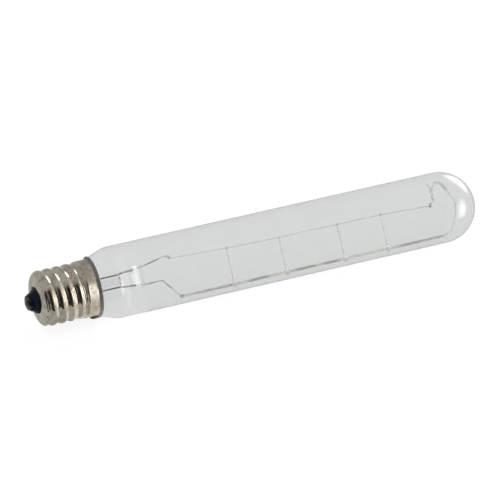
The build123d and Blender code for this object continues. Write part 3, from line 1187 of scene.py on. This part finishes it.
@dataclass
class CapEnd:
    """The black insulator, the centre contact with its solder, and the solder on the cap's lip."""

    plan: LampPlan
    contact_x: float = 0.35
    contact_height: float = 0.6
    contact_radius: float = 2.15
    eyelet_radius: float = 0.9
    tip_radius: float = 2.45
    step_width: float = 0.35
    step_height: float = 0.9
    neck_radius: float = 3.88
    flange_radius: float = 5.0
    flange_height: float = 2.4
    sheet: float = 0.3
    button_radius: float = 1.7
    button_flat: float = 0.9
    button_centre: float = 0.45
    tube_bore: float = 0.4
    tube_play: float = 0.02
    insulator_bends: tuple[float, ...] = (0.22, 0.3, 0.12, 0.0, 0.2, 0.4)
    contact_bends: tuple[float, ...] = (0.25, 0.06, 0.0, 0.1)
    mould_wear: float = 0.04
    mould_length: float = 2.0
    lumps: float = 0.16
    button_lump: float = 0.9
    drop_lump: float = 1.3
    lean_run: float = 0.35
    lean: Pair = (-0.2, -0.27)
    drop_x: float = 18.9
    drop_radius: float = 8.3
    drop_angle: float = math.radians(235.0)
    drop_size: Point = (1.45, 1.0, 0.6)
    segments: int = 96

    def build(self) -> None:
        """Builds the pieces at the cap's end and the solder on its lip."""
        self.build_insulator()
        self.build_contact()
        self.build_solder()
        self.build_side_solder()

    def build_side_solder(self) -> None:
        """Builds the long drop of solder that runs from the lip along the collar."""

        def place(along: float, side: float, out: float, swell: float) -> Point:
            """Returns the drop's point, bent round the collar."""
            radius = self.drop_radius + out * self.drop_size[2] * swell
            angle = self.drop_angle + side * self.drop_size[1] * swell / self.drop_radius
            x = self.drop_x + along * self.drop_size[0]
            return (x, radius * math.cos(angle), radius * math.sin(angle))

        drop = lumpy_ball("lip_solder", self.lumps, self.drop_lump, 5.0, place)
        settle(drop, SOLDER, Slot.SOLDER, "side_solder")

    def shift(self, piece: bpy.types.Object) -> None:
        """Moves what stands out of the shell a little off the axis, to meet its outline in the photograph.

        Args:
            piece: The piece, whose inner part stays.
        """
        for vertex in piece.data.vertices:
            share = min(1.0, max(0.0, (self.plan.cap_x - vertex.co.x / MM) / self.lean_run))
            vertex.co.y += self.lean[0] * MM * share
            vertex.co.z += self.lean[1] * MM * share

    def build_insulator(self) -> None:
        """Builds the stepped cone, its neck through the end hole and its flange inside."""
        start = self.contact_x + self.contact_height
        flange_x = self.plan.cap_x + self.sheet
        outline = rounded(
            [
                (start, self.eyelet_radius),
                (start, self.tip_radius),
                (start + self.step_height, self.tip_radius + self.step_width),
                (self.plan.cap_x, self.neck_radius),
                (flange_x, self.neck_radius),
                (flange_x, self.flange_radius),
                (flange_x + self.flange_height, self.flange_radius),
                (flange_x + self.flange_height, self.eyelet_radius),
            ],
            self.insulator_bends,
            step=12.0,
        )

        def moulded(_: int, x: float, radius: float, angle: float) -> float:
            """Returns the radius with the mould's wear."""
            stray = wander_round(x, radius, angle, self.mould_length, seed=5.0)
            return radius - self.mould_wear * (0.5 + 0.5 * stray)

        piece = lathe("insulator_cone", spaced(outline, 0.4), self.segments, moulded, closed=True)
        self.shift(piece)
        settle(piece, INSULATOR_GLASS, Slot.BLACK_GLASS, "insulator")

    def build_contact(self) -> None:
        """Builds the contact's plate with its rounded edge and its tube."""
        start = self.contact_x
        tube_end = self.plan.cap_x + self.sheet + self.flange_height
        tube_radius = self.eyelet_radius - self.tube_play
        outline = rounded(
            [
                (start, self.tube_bore),
                (start, self.contact_radius),
                (start + self.contact_height, self.contact_radius),
                (start + self.contact_height, tube_radius),
                (tube_end, tube_radius),
                (tube_end, self.tube_bore),
            ],
            self.contact_bends,
            step=15.0,
        )
        piece = lathe("contact_plate", spaced(outline, 0.3), self.segments, closed=True)
        self.shift(piece)
        settle(piece, CONTACT_BRASS, Slot.CONTACT_METAL, "centre_contact")

    def build_solder(self) -> None:
        """Builds the uneven button of solder."""
        height = self.contact_x
        rim = arc(
            (height, self.button_flat),
            (height, self.button_radius - self.button_flat),
            180.0,
            90.0,
            10,
        )
        outline = [(0.0, 0.0), (0.0, self.button_centre)] + rim + [(height + 0.02, 0.0)]

        def lumpy(_: int, x: float, radius: float, angle: float) -> float:
            """Returns the radius with the solder's lumps."""
            stray = wander_round(x, radius, angle, self.button_lump, seed=2.0)
            return radius * (1.0 - self.lumps * (0.5 + 0.5 * stray))

        piece = lathe("solder_button", outline, 48, lumpy)
        self.shift(piece)
        settle(piece, SOLDER, Slot.SOLDER, "centre_solder")


@dataclass
class Stem:
    """The glass stem: a tube flared to the neck and pressed flat over the seal wires."""

    plan: LampPlan
    mount: Mount
    radius: float = 2.75
    wall: float = 0.6
    flare_length: float = 6.5
    flare_radius: float = 5.8
    press_half_width: float = 3.25
    press_half_thickness: float = 1.3
    press_length: float = 3.2
    taper_length: float = 2.4
    press_root: float = 1.0
    press_round: float = 0.45
    press_square: float = 1.8
    station_gap: float = 0.35
    body_start: float = 0.8
    flare_steps: int = 18
    tip_steps: int = 6
    bore_steps: int = 10
    bore_end: tuple[Pair, ...] = ((0.0, 0.0), (0.0, 0.6), (-0.3, 0.93), (-0.8, 1.0))
    bore_straight: float = 1.6
    segments: int = 96

    def section(self, x: float) -> tuple[float, float, float]:
        """Works out the outer form at a place.

        Args:
            x: The place.

        Returns:
            The half width, the half thickness and the squareness, 2 for round.
        """
        press_x = self.plan.press_end_x - self.press_length
        taper_x = press_x - self.taper_length
        share = eased((x - taper_x) / self.taper_length)
        width = self.radius + (self.press_half_width - self.radius) * share
        thickness = self.radius + (self.press_half_thickness - self.radius) * share
        end = max(0.0, (x - self.plan.press_end_x + self.press_round) / self.press_round)
        shrink = self.press_round * (1.0 - math.sqrt(max(0.0, 1.0 - end * end)))
        return width - shrink, thickness - shrink, 2.0 + self.press_square * share

    def build(self) -> None:
        """Builds the stem as one closed solid with its bore."""
        plan = self.plan
        flare_x = plan.seal_x + self.flare_length
        bore_end = plan.press_end_x - self.press_length - self.taper_length - self.press_root
        start_x = plan.seal_x + self.wall
        reach = self.flare_radius - self.radius
        flare = [
            (flare_x - (flare_x - start_x) * math.cos(a), self.flare_radius - reach * math.sin(a))
            for a in np.radians(np.linspace(0.0, 90.0, self.flare_steps))
        ]
        body_x = np.arange(flare_x + self.body_start, plan.press_end_x - self.press_round, self.station_gap)
        turn = np.radians(np.linspace(0.0, 90.0, self.tip_steps))
        tip_x = plan.press_end_x - self.press_round * (1.0 - np.sin(turn))
        outer = flare + [(float(x), -1.0) for x in (*body_x, *tip_x)] + [(plan.press_end_x, 0.0)]
        bore = self.radius - self.wall
        inner_reach = self.flare_radius - bore
        inner = [(bore_end + x, bore * share) for x, share in self.bore_end]
        bore_x = np.linspace(bore_end - self.bore_straight, flare_x, self.bore_steps)
        inner += [(float(x), bore) for x in bore_x]
        inner += [
            (flare_x - self.flare_length * math.sin(a), self.flare_radius - inner_reach * math.cos(a))
            for a in np.radians(np.linspace(5.0, 90.0, self.flare_steps))
        ]

        def point(_: int, x: float, radius: float, angle: float) -> Point:
            """Returns a point of the bore, or of the outer face where the radius is negative."""
            wide, thick, square = self.section(x) if radius < 0 else (radius, radius, 2.0)
            cos, sin = math.cos(angle), math.sin(angle)
            scale = (abs(cos) ** square + abs(sin) ** square) ** (-1.0 / square)
            return self.mount.at(x, wide * scale * cos, thick * scale * sin)

        piece = ringed("pressed_stem", inner + outer, self.segments, point)
        piece.visible_shadow = False
        settle(piece, STEM_GLASS, Slot.STEM_GLASS, "stem")


@dataclass
class FilamentMount:
    """The leads, the side rod, the filament and its supports."""

    plan: LampPlan
    mount: Mount
    rod_radius: float = 0.4
    rod_offset: float = 8.2
    rod_start: float = 10.0
    rod_bend: float = 4.0
    loop_bend: float = 5.5
    loop_gap: float = 4.4
    loop_return: float = 7.0
    lead_radius: float = 0.2
    lead_start: Pair = (-0.9, 2.37)
    lead_run: Pair = (1.0, 2.64)
    short_lead_crest: Pair = (7.65, 4.0)
    long_lead_knee: Pair = (5.4, -2.5)
    clamp_radius: float = 0.34
    start_rise: float = 3.05
    end_rise: float = 1.1
    supports: tuple[Pair, ...] = ((26.2, 2.3), (42.2, 1.95), (60.2, 1.85), (73.6, 1.75))
    coil_radius: float = 0.17
    filament_wire: float = 0.022
    coil_pitch: float = 0.17
    hook_radius: float = 0.08
    hook_loop: float = 0.33
    hook_arc: tuple[float, float, float] = (10.0, 250.0, 12.0)
    hook_kink: float = 0.5
    bead_radius: float = 0.95
    bead_half_length: float = 0.95
    strand_radius: float = 0.21
    twist_radius: float = 0.34
    twist_turns: float = 1.6
    twist_steps: int = 40
    twist_joint: Pair = (1.4, 5.3)
    twist_foot: Pair = (1.5, 2.2)
    strand_tops: tuple[Pair, Pair] = ((0.4, 7.4), (2.9, 7.1))
    lead_bends: Pair = (0.8, 0.8)
    clamp_reach: float = 0.2
    clamp_line: tuple[Pair, ...] = ((0.5, -0.18), (1.3, -0.5))
    far_clamp_line: tuple[Pair, ...] = ((0.35, 0.7), (0.1, 0.0), (0.0, -0.5))
    weld_line: tuple[Pair, ...] = ((-0.35, 0.4), (0.0, 0.0), (0.5, -0.06))
    rod_end: Pair = (2.8, 0.2)
    rod_end_bend: float = 2.0
    clamp_kink: float = 0.15
    weld_kink: float = 0.2
    weld_swell: float = 1.4
    hook_root: float = 0.75
    bead_swell: float = 0.12
    bead_lump: float = 1.5

    def build(self) -> None:
        """Builds every piece of the mount."""
        self.build_filament()
        self.build_leads()
        self.build_rod()
        self.build_supports()
        self.build_beads()

    def wire(
        self, name: str, points: Sequence[Point], radius: float, finish: Finish, kink: float = 0.0
    ) -> bpy.types.Object:
        """Runs a wire through points of the frame, strayed by the kink."""
        return wire_form(radius, finish, kink, seed=len(points)).grow(name, curve_path(points))

    def filament_line(self) -> Outline:
        """Returns the line that the coil is wound about."""
        held = [(self.plan.press_end_x + reach, rise) for reach, rise in self.supports]
        return [(self.plan.coil_start_x, self.start_rise), *held, (self.plan.coil_end_x, self.end_rise)]

    def build_filament(self) -> None:
        """Winds the filament from clamp to clamp."""
        form = coil_form(self.coil_radius, self.filament_wire, self.coil_pitch, TUNGSTEN)
        piece = form.grow("filament_coil", curve_path(self.mount.along(self.filament_line())))
        settle(piece, None, Slot.TUNGSTEN, "filament")

    def build_leads(self) -> None:
        """Runs both inner leads out of the press, with the clamp on one and the weld on the other."""
        end = self.plan.press_end_x
        crest = (end + self.short_lead_crest[0], self.short_lead_crest[1])
        clamp = (self.plan.coil_start_x + self.clamp_reach, self.start_rise)
        held = [*offsets(crest, self.clamp_line), clamp]
        pieces = [
            self.wire("short lead", self.lead(1.0, crest, clamp), self.lead_radius, LEAD_WIRE),
            self.wire("clamp", self.mount.along(held), self.clamp_radius, CLAMPED_WIRE, self.clamp_kink),
        ]
        settle(merge("short_lead_wire", pieces), None, Slot.NICKEL_WIRE, "short_lead")
        knee = (end + self.long_lead_knee[0], self.long_lead_knee[1])
        foot = (end + self.rod_start, -self.rod_offset)
        weld = self.mount.along(offsets(foot, self.weld_line))
        blob = self.clamp_radius * self.weld_swell
        pieces = [
            self.wire("long lead", self.lead(-1.0, knee, foot), self.lead_radius, LEAD_WIRE),
            self.wire("weld", weld, blob, CLAMPED_WIRE, self.weld_kink),
        ]
        settle(merge("long_lead_wire", pieces), None, Slot.NICKEL_WIRE, "long_lead")

    def lead(self, side: float, *last: Pair) -> list[Point]:
        """Returns the line of a lead out of the press, on the upper side (1) or the lower one (-1)."""
        run = [(self.plan.press_end_x + x, side * rise) for x, rise in (self.lead_start, self.lead_run)]
        return self.mount.along(rounded([*run, *last], self.lead_bends))

    def strand(self, top: Pair, phase: float) -> list[Point]:
        """Draws one strand of the twist that holds the filament's far end.

        Args:
            top: Where the strand starts, from the filament's end along the lamp, and its height.
            phase: Where round the twist it runs.

        Returns:
            The strand's points in the frame.
        """
        far = self.plan.coil_end_x
        joint, foot = ((far + x, rise) for x, rise in (self.twist_joint, self.twist_foot))
        points = [self.mount.at(far + top[0], top[1])]
        for share in np.linspace(0.0, 1.0, self.twist_steps):
            angle = TAU * self.twist_turns * share + phase
            along = joint[0] + (foot[0] - joint[0]) * share
            rise = joint[1] + (foot[1] - joint[1]) * share
            cos, sin = self.twist_radius * math.cos(angle), self.twist_radius * math.sin(angle)
            points.append(self.mount.at(along + cos, rise, sin))
        points.append(self.mount.at(far + self.clamp_reach, self.end_rise))
        return points

    def build_rod(self) -> None:
        """Bends the side rod round the glass's end, with a twist of thin wire down to the filament."""
        loop_x = self.plan.end_x - self.loop_gap
        far = self.plan.coil_end_x
        line = rounded(
            [
                (self.plan.press_end_x + self.rod_start, -self.rod_offset),
                (loop_x - self.rod_bend, -self.rod_offset),
                (loop_x, 0.0),
                (loop_x - self.rod_bend, self.loop_return),
                (far + self.rod_end[0], self.loop_return + self.rod_end[1]),
            ],
            [self.rod_bend, self.loop_bend, self.rod_end_bend],
        )
        held = self.mount.along(offsets((far, self.end_rise), self.far_clamp_line))
        one, other = self.strand_tops
        pieces = [
            self.wire("rod", self.mount.along(line), self.rod_radius, ROD_WIRE),
            # The twist's strands carry a painted highlight in their near-white colour.
            self.wire("strand 1", self.strand(one, 0.0), self.strand_radius, BRIGHT_TWIST_WIRE),
            self.wire("strand 2", self.strand(other, math.pi), self.strand_radius, BRIGHT_TWIST_WIRE),
            self.wire("far clamp", held, self.clamp_radius, CLAMPED_WIRE, self.clamp_kink),
        ]
        settle(merge("side_rod_wire", pieces), None, Slot.NICKEL_WIRE, "side_rod")

    def build_supports(self) -> None:
        """Hooks a wire over the filament at each bead."""
        for number, (reach, rise) in enumerate(self.supports, start=1):
            x = self.plan.press_end_x + reach
            foot = self.hook_root - self.rod_offset
            path = [self.mount.at(x, foot, -self.hook_loop), self.mount.at(x, rise, -self.hook_loop)]
            for angle in np.radians(np.arange(*self.hook_arc)):
                up, out = self.hook_loop * math.sin(angle), -self.hook_loop * math.cos(angle)
                path.append(self.mount.at(x, rise + up, out))
            form = wire_form(self.hook_radius, HOOK_WIRE, kink=self.hook_kink, seed=number)
            hook = form.grow(f"support_wire_{number}", curve_path(path))
            settle(hook, None, Slot.SUPPORT_WIRE, f"support_hook_{number}")

    def build_beads(self) -> None:
        """Melts a round bead of glass on the rod at each support."""
        for number, (reach, _) in enumerate(self.supports, start=1):
            middle = self.plan.press_end_x + reach

            def place(along: float, side: float, up: float, swell: float, x: float = middle) -> Point:
                """Returns the bead's point, on the rod."""
                rise = up * self.bead_radius * swell - self.rod_offset
                return self.mount.at(x + along * self.bead_half_length, rise, side * self.bead_radius * swell)

            bead = lumpy_ball(f"glass_bead_{number}", self.bead_swell, self.bead_lump, float(number), place)
            settle(bead, BEAD_GLASS, Slot.BEAD_GLASS, f"support_bead_{number}")


# Nodes of the frame that keep their shape
KEPT_NODES: dict[str, Finish] = {
    "basing_cement": CEMENT,
    "exhaust_tube": STEM_GLASS,
    "contact_lead": COPPER,
    "shell_lead": COPPER,
    "upper_seal_wire": SEAL_COPPER,
    "lower_seal_wire": SEAL_COPPER,
}


def dress_kept_nodes(nodes: dict[str, bpy.types.Object]) -> None:
    """Gives the kept nodes their finishes.

    Args:
        nodes: The frame's nodes by name.
    """
    for name, finish in KEPT_NODES.items():
        piece = nodes[name]
        finish.dress(piece)
        if name == "exhaust_tube":
            piece.visible_shadow = False
        log.info("%s: kept, in %s", name, finish.name)


# Floor, light and camera


WARM_WHITE: Colour = (1.0, 0.94, 0.9)


def bare_material(name: str) -> bpy.types.Material:
    """Makes a material whose tree is empty."""
    material = bpy.data.materials.new(name)
    material.use_nodes = True
    material.node_tree.nodes.clear()
    return material


def glowing(name: str, tint: Colour, back_only: bool) -> bpy.types.Material:
    """Makes a material that glows as strongly as the mesh's own level says.

    Args:
        name: The material's name.
        tint: Its colour.
        back_only: Whether the faces' fronts are left clear, so that only their backs glow.

    Returns:
        The material.
    """
    material = bare_material(name)
    tree = material.node_tree
    level = add_node(tree, "ShaderNodeAttribute", attribute_name="level").outputs["Fac"]
    surface = add_node(tree, "ShaderNodeEmission", {"Color": (*tint, 1.0), "Strength": level}).outputs[0]
    if back_only:
        side = add_node(tree, "ShaderNodeNewGeometry").outputs["Backfacing"]
        clear = add_node(tree, "ShaderNodeBsdfTransparent").outputs[0]
        surface = add_node(tree, "ShaderNodeMixShader", {0: side, 1: clear, 2: surface}).outputs[0]
    add_node(tree, "ShaderNodeOutputMaterial", {"Surface": surface})
    return material


def light_only_reflections(
    card: bpy.types.Object, levels: Sequence[float], tint: Colour, back_only: bool = False
) -> None:
    """Lights a card and makes it show in mirror reflections alone.

    Args:
        card: The card, in its place.
        levels: How strongly it glows at each point.
        tint: Its colour.
        back_only: Whether only the faces' backs glow.
    """
    card.data.attributes.new("level", "FLOAT", "POINT").data.foreach_set("value", levels)
    card.data.materials.append(glowing(card.name, tint, back_only))
    for ray in ("camera", "diffuse", "transmission", "volume_scatter", "shadow"):
        setattr(card, f"visible_{ray}", False)


@dataclass(frozen=True)
class Strip:
    """A card bent about the lamp's axis, as a studio's flags, reflectors and rings stand round an object.

    Its two edges are given by their places and radii. One with back_only glows only towards the cap.
    """

    name: str
    edges: tuple[Pair, Pair]
    turn: Pair
    levels: Pair
    tint: Colour = (1.0, 1.0, 1.0)
    back_only: bool = False
    steps: int = 24

    def build(self) -> None:
        """Bends the card from its first to its last angle, measured from +Z towards -Y."""
        vertices, levels = [], []
        for share in np.linspace(0.0, 1.0, self.steps + 1):
            angle = math.radians(self.turn[0] + (self.turn[1] - self.turn[0]) * share)
            for x, radius in self.edges:
                vertices.append((x, -radius * math.sin(angle), radius * math.cos(angle)))
                levels.append(self.levels[0] + (self.levels[1] - self.levels[0]) * share)
        faces = [(2 * n, 2 * n + 1, 2 * n + 3, 2 * n + 2) for n in range(self.steps)]
        card = new_object(self.name, vertices, faces)
        light_only_reflections(card, levels, self.tint, self.back_only)


@dataclass(frozen=True)
class Card:
    """A flat oval card that faces a point, with its longer side along a direction."""

    name: str
    centre: Point
    facing: Point
    along: Point
    size: Pair
    level: float
    tint: Colour = (1.0, 1.0, 1.0)
    edge_level: float = 0.48
    soft: float = 0.75
    rings: int = 10
    sides: int = 32

    def build(self) -> None:
        """Stands the card in its place, with its light fading to its round edge."""
        vertices = [(0.0, 0.0, 0.0)]
        levels = [self.level]
        across, up = self.size[0] / 2, self.size[1] / 2
        for share in np.linspace(0.0, 1.0, self.rings + 1)[1:]:
            inside = min(1.0, (1.0 - share) / self.soft)
            for angle in np.linspace(0.0, TAU, self.sides, endpoint=False):
                vertices.append((across * share * math.cos(angle), up * share * math.sin(angle), 0.0))
                levels.append(self.edge_level + (self.level - self.edge_level) * inside)
        faces = [(0, 1 + n, 1 + (n + 1) % self.sides) for n in range(self.sides)]
        for ring in range(self.rings - 1):
            one, other = 1 + ring * self.sides, 1 + (ring + 1) * self.sides
            for n in range(self.sides):
                after = (n + 1) % self.sides
                faces.append((one + n, other + n, other + after, one + after))
        card = new_object(self.name, vertices, faces)
        out = (Vector(self.facing) - Vector(self.centre)).normalized()
        side = out.cross(Vector(self.along)).normalized()
        turn = Matrix((side.cross(out), side, out)).transposed()
        card.matrix_world = Matrix.Translation(Vector(self.centre) * MM) @ turn.to_4x4()
        light_only_reflections(card, levels, self.tint)


@dataclass(frozen=True)
class Patch:
    """A four-cornered card lying just above the floor, with its own level at each corner."""

    name: str
    corners: tuple[Pair, Pair, Pair, Pair]
    levels: tuple[float, float, float, float]
    tint: Colour = (1.0, 1.0, 1.0)
    height: float = -10.0
    steps: int = 12

    def blend(self, values: np.ndarray, u: float, v: float) -> np.ndarray:
        """Blends the corners' values.

        Args:
            values: A value for each corner.
            u: The share across.
            v: The share along.

        Returns:
            The value there.
        """
        near = values[0] * (1.0 - u) + values[1] * u
        far = values[3] * (1.0 - u) + values[2] * u
        return near * (1.0 - v) + far * v

    def build(self) -> None:
        """Lays the card down."""
        shares = np.linspace(0.0, 1.0, self.steps + 1)
        corners, levels = np.array(self.corners), np.array(self.levels)
        vertices = [(*self.blend(corners, u, v), self.height) for v in shares for u in shares]
        row = self.steps + 1
        faces = [
            (n, n + 1, n + 1 + row, n + row)
            for n in (r * row + c for r in range(self.steps) for c in range(self.steps))
        ]
        card = new_object(self.name, vertices, faces)
        values = [float(self.blend(levels, u, v)) for v in shares for u in shares]
        light_only_reflections(card, values, self.tint)


@dataclass(frozen=True)
class RayLevels:
    """How bright something is to rays that see it straight or through glass, in a mirror, and otherwise."""

    seen: float
    mirrored: float
    other: float

    def level(self, tree: bpy.types.NodeTree) -> bpy.types.NodeSocket:
        """Builds the nodes that give the level for each kind of ray.

        Args:
            tree: The tree that they go into.

        Returns:
            The level's socket.
        """
        path = add_node(tree, "ShaderNodeLightPath").outputs
        through = path["Is Transmission Ray"]
        both = maths(tree, "MAXIMUM", path["Is Camera Ray"], through)
        base = maths(tree, "MULTIPLY_ADD", both, self.seen - self.other, self.other)
        glossy = maths(tree, "SUBTRACT", path["Is Glossy Ray"], through)
        mirrored = maths(tree, "MAXIMUM", glossy, 0.0)
        return maths(tree, "MULTIPLY_ADD", mirrored, self.mirrored - self.other, base)


# The edges of the room's walls and of the rings, by place and radius
WALL: tuple[Pair, Pair] = ((-332.0, 400.0), (85.0, 400.0))
FAR_WALL: tuple[Pair, Pair] = ((-900.0, 400.0), (-332.0, 400.0))
RING: tuple[Pair, Pair] = ((28.0, 10.7), (28.0, 26.0))
LOW_RING: tuple[Pair, Pair] = ((28.0, 10.7), (28.0, 20.0))


@dataclass(frozen=True)
class SoftLamp:
    """A soft lamp that lights matt surfaces and shows in no reflection."""

    name: str
    place: Point
    size: float
    watts: float

    def build(self, target: Vector) -> None:
        """Hangs the lamp.

        Args:
            target: The point that it faces, in metres.
        """
        data = bpy.data.lights.new(self.name, "AREA")
        data.shape = "SQUARE"
        data.size = self.size * MM
        data.energy = self.watts
        lamp = put(self.name, data)
        lamp.location = Vector(self.place) * MM
        lamp.rotation_euler = (target - lamp.location).to_track_quat("-Z", "Y").to_euler()
        lamp.visible_glossy = False
        lamp.visible_transmission = False


@dataclass
class Studio:
    """The floor, the surroundings, the lamps, the cards and the camera."""

    plan: LampPlan
    floor_half: float = 1500.0
    floor_diffuse: float = 0.1
    floor_levels: RayLevels = RayLevels(seen=0.88, mirrored=0.4, other=0.3)
    room_levels: RayLevels = RayLevels(seen=1.0, mirrored=0.48, other=0.85)
    azimuth: float = -22.11
    elevation: float = 34.29
    distance: float = 1469.0
    aim_x: float = 70.0
    aim_right: float = -1.93
    aim_up: float = -0.16
    lens: float = 372.0
    sensor: float = 36.0
    clip: Pair = (0.1, 20.0)
    lamps: tuple[SoftLamp, ...] = (
        SoftLamp("key softbox", (-250.0, -450.0, 700.0), size=380.0, watts=5.0),
        SoftLamp("rear softbox", (420.0, 420.0, 520.0), size=300.0, watts=3.0),
    )
    cards: tuple[Strip | Card | Patch, ...] = (
        Strip("dusk over the dark room", WALL, (18.0, 36.0), (0.45, 0.03)),
        Strip("dark room", WALL, (36.0, 92.0), (0.03, 0.03), tint=(0.95, 0.8, 1.0)),
        Strip("far left wall", FAR_WALL, (25.0, 92.0), (0.36, 0.08)),
        Strip("white ring, top", RING, (-22.0, 25.0), (0.5, 1.1), WARM_WHITE, back_only=True),
        Strip("white ring, side", RING, (25.0, 50.0), (1.1, 2.0), WARM_WHITE, back_only=True),
        Strip("white ring, low", LOW_RING, (50.0, 114.0), (2.0, 1.8), WARM_WHITE, back_only=True),
        Card(
            "collar softbox",
            centre=(25.9, -26.6, 10.9),
            facing=(18.0, -7.7, 2.9),
            along=(1.0, 0.0, 0.0),
            size=(7.0, 36.0),
            level=6.0,
        ),
        Patch(
            "dark cloth on the table",
            ((-12.0, -28.0), (14.0, -28.0), (110.0, -600.0), (-500.0, -600.0)),
            (0.04, 0.04, 0.03, 0.03),
        ),
        Patch(
            "white paper on the table",
            ((13.0, -2.0), (34.0, -4.0), (46.0, -60.0), (27.0, -60.0)),
            (1.0, 0.85, 0.85, 1.0),
            tint=WARM_WHITE,
        ),
        Card(
            "window",
            centre=(478.0, 252.0, 112.0),
            facing=(127.0, 0.0, 0.0),
            along=(0.56, -0.535, -0.63),
            size=(470.0, 420.0),
            level=6.0,
        ),
        Card(
            "lamp at the round end",
            centre=(162.0, -31.0, 7.0),
            facing=(130.0, -8.8, 4.2),
            along=(7.0, 14.0, 28.0),
            size=(54.0, 36.0),
            level=8.0,
        ),
    )

    def build(self) -> None:
        """Builds the whole studio."""
        self.build_floor()
        self.build_surroundings()
        for lamp in self.lamps:
            lamp.build(Vector((self.aim_x, 0.0, 0.0)) * MM)
        for card in self.cards:
            card.build()
        self.build_camera()

    def build_floor(self) -> None:
        """Lays a white floor under the tube that keeps a faint shadow."""
        low = -self.plan.tube_radius
        half = self.floor_half
        floor = new_object(
            "floor",
            [(-half, -half, low), (half, -half, low), (half, half, low), (-half, half, low)],
            [(0, 1, 2, 3)],
        )
        material = bare_material("white floor")
        tree = material.node_tree
        colour = (*[self.floor_diffuse] * 3, 1.0)
        matt = add_node(tree, "ShaderNodeBsdfDiffuse", {"Color": colour}).outputs[0]
        glow = add_node(tree, "ShaderNodeEmission", {"Strength": self.floor_levels.level(tree)}).outputs[0]
        both = add_node(tree, "ShaderNodeAddShader", {0: matt, 1: glow}).outputs[0]
        add_node(tree, "ShaderNodeOutputMaterial", {"Surface": both})
        floor.data.materials.append(material)

    def build_surroundings(self) -> None:
        """Sets a white background for rays that see it, and the room's plain light for the rest."""
        world = bpy.data.worlds.new("surroundings")
        bpy.context.scene.world = world
        world.use_nodes = True
        background = world.node_tree.nodes["Background"]
        background.inputs["Color"].default_value = (1.0, 1.0, 1.0, 1.0)
        tree = world.node_tree
        tree.links.new(self.room_levels.level(tree), background.inputs["Strength"])

    def build_camera(self) -> None:
        """Sets the camera at the photograph's angle."""
        a, e = math.radians(self.azimuth), math.radians(self.elevation)
        back = Vector((math.sin(a) * math.cos(e), -math.cos(a) * math.cos(e), math.sin(e)))
        right = Vector((math.cos(a), math.sin(a), 0.0))
        up = back.cross(right)
        aim = Vector((self.aim_x, 0.0, 0.0)) + right * self.aim_right + up * self.aim_up
        data = bpy.data.cameras.new("camera")
        data.lens = self.lens
        data.sensor_width = self.sensor
        data.clip_start, data.clip_end = self.clip
        camera = put("camera", data)
        camera.location = (aim + back * self.distance) * MM
        camera.rotation_mode = "QUATERNION"
        camera.rotation_quaternion = (-back).to_track_quat("-Z", "Y")
        bpy.context.scene.camera = camera


def main() -> None:
    """Builds the lamp and its studio."""
    logging.basicConfig(level=logging.INFO, format="%(name)s: %(message)s")
    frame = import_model()
    bpy.context.scene.view_settings.view_transform = "Standard"
    plan = LampPlan.from_frame()
    mount = Mount()
    Envelope(plan).build()
    ScrewShell(plan).build()
    CapEnd(plan).build()
    Stem(plan, mount).build()
    FilamentMount(plan, mount).build()
    dress_kept_nodes(frame["nodes"])
    Studio(plan).build()


if __name__ == "__main__":
    main()
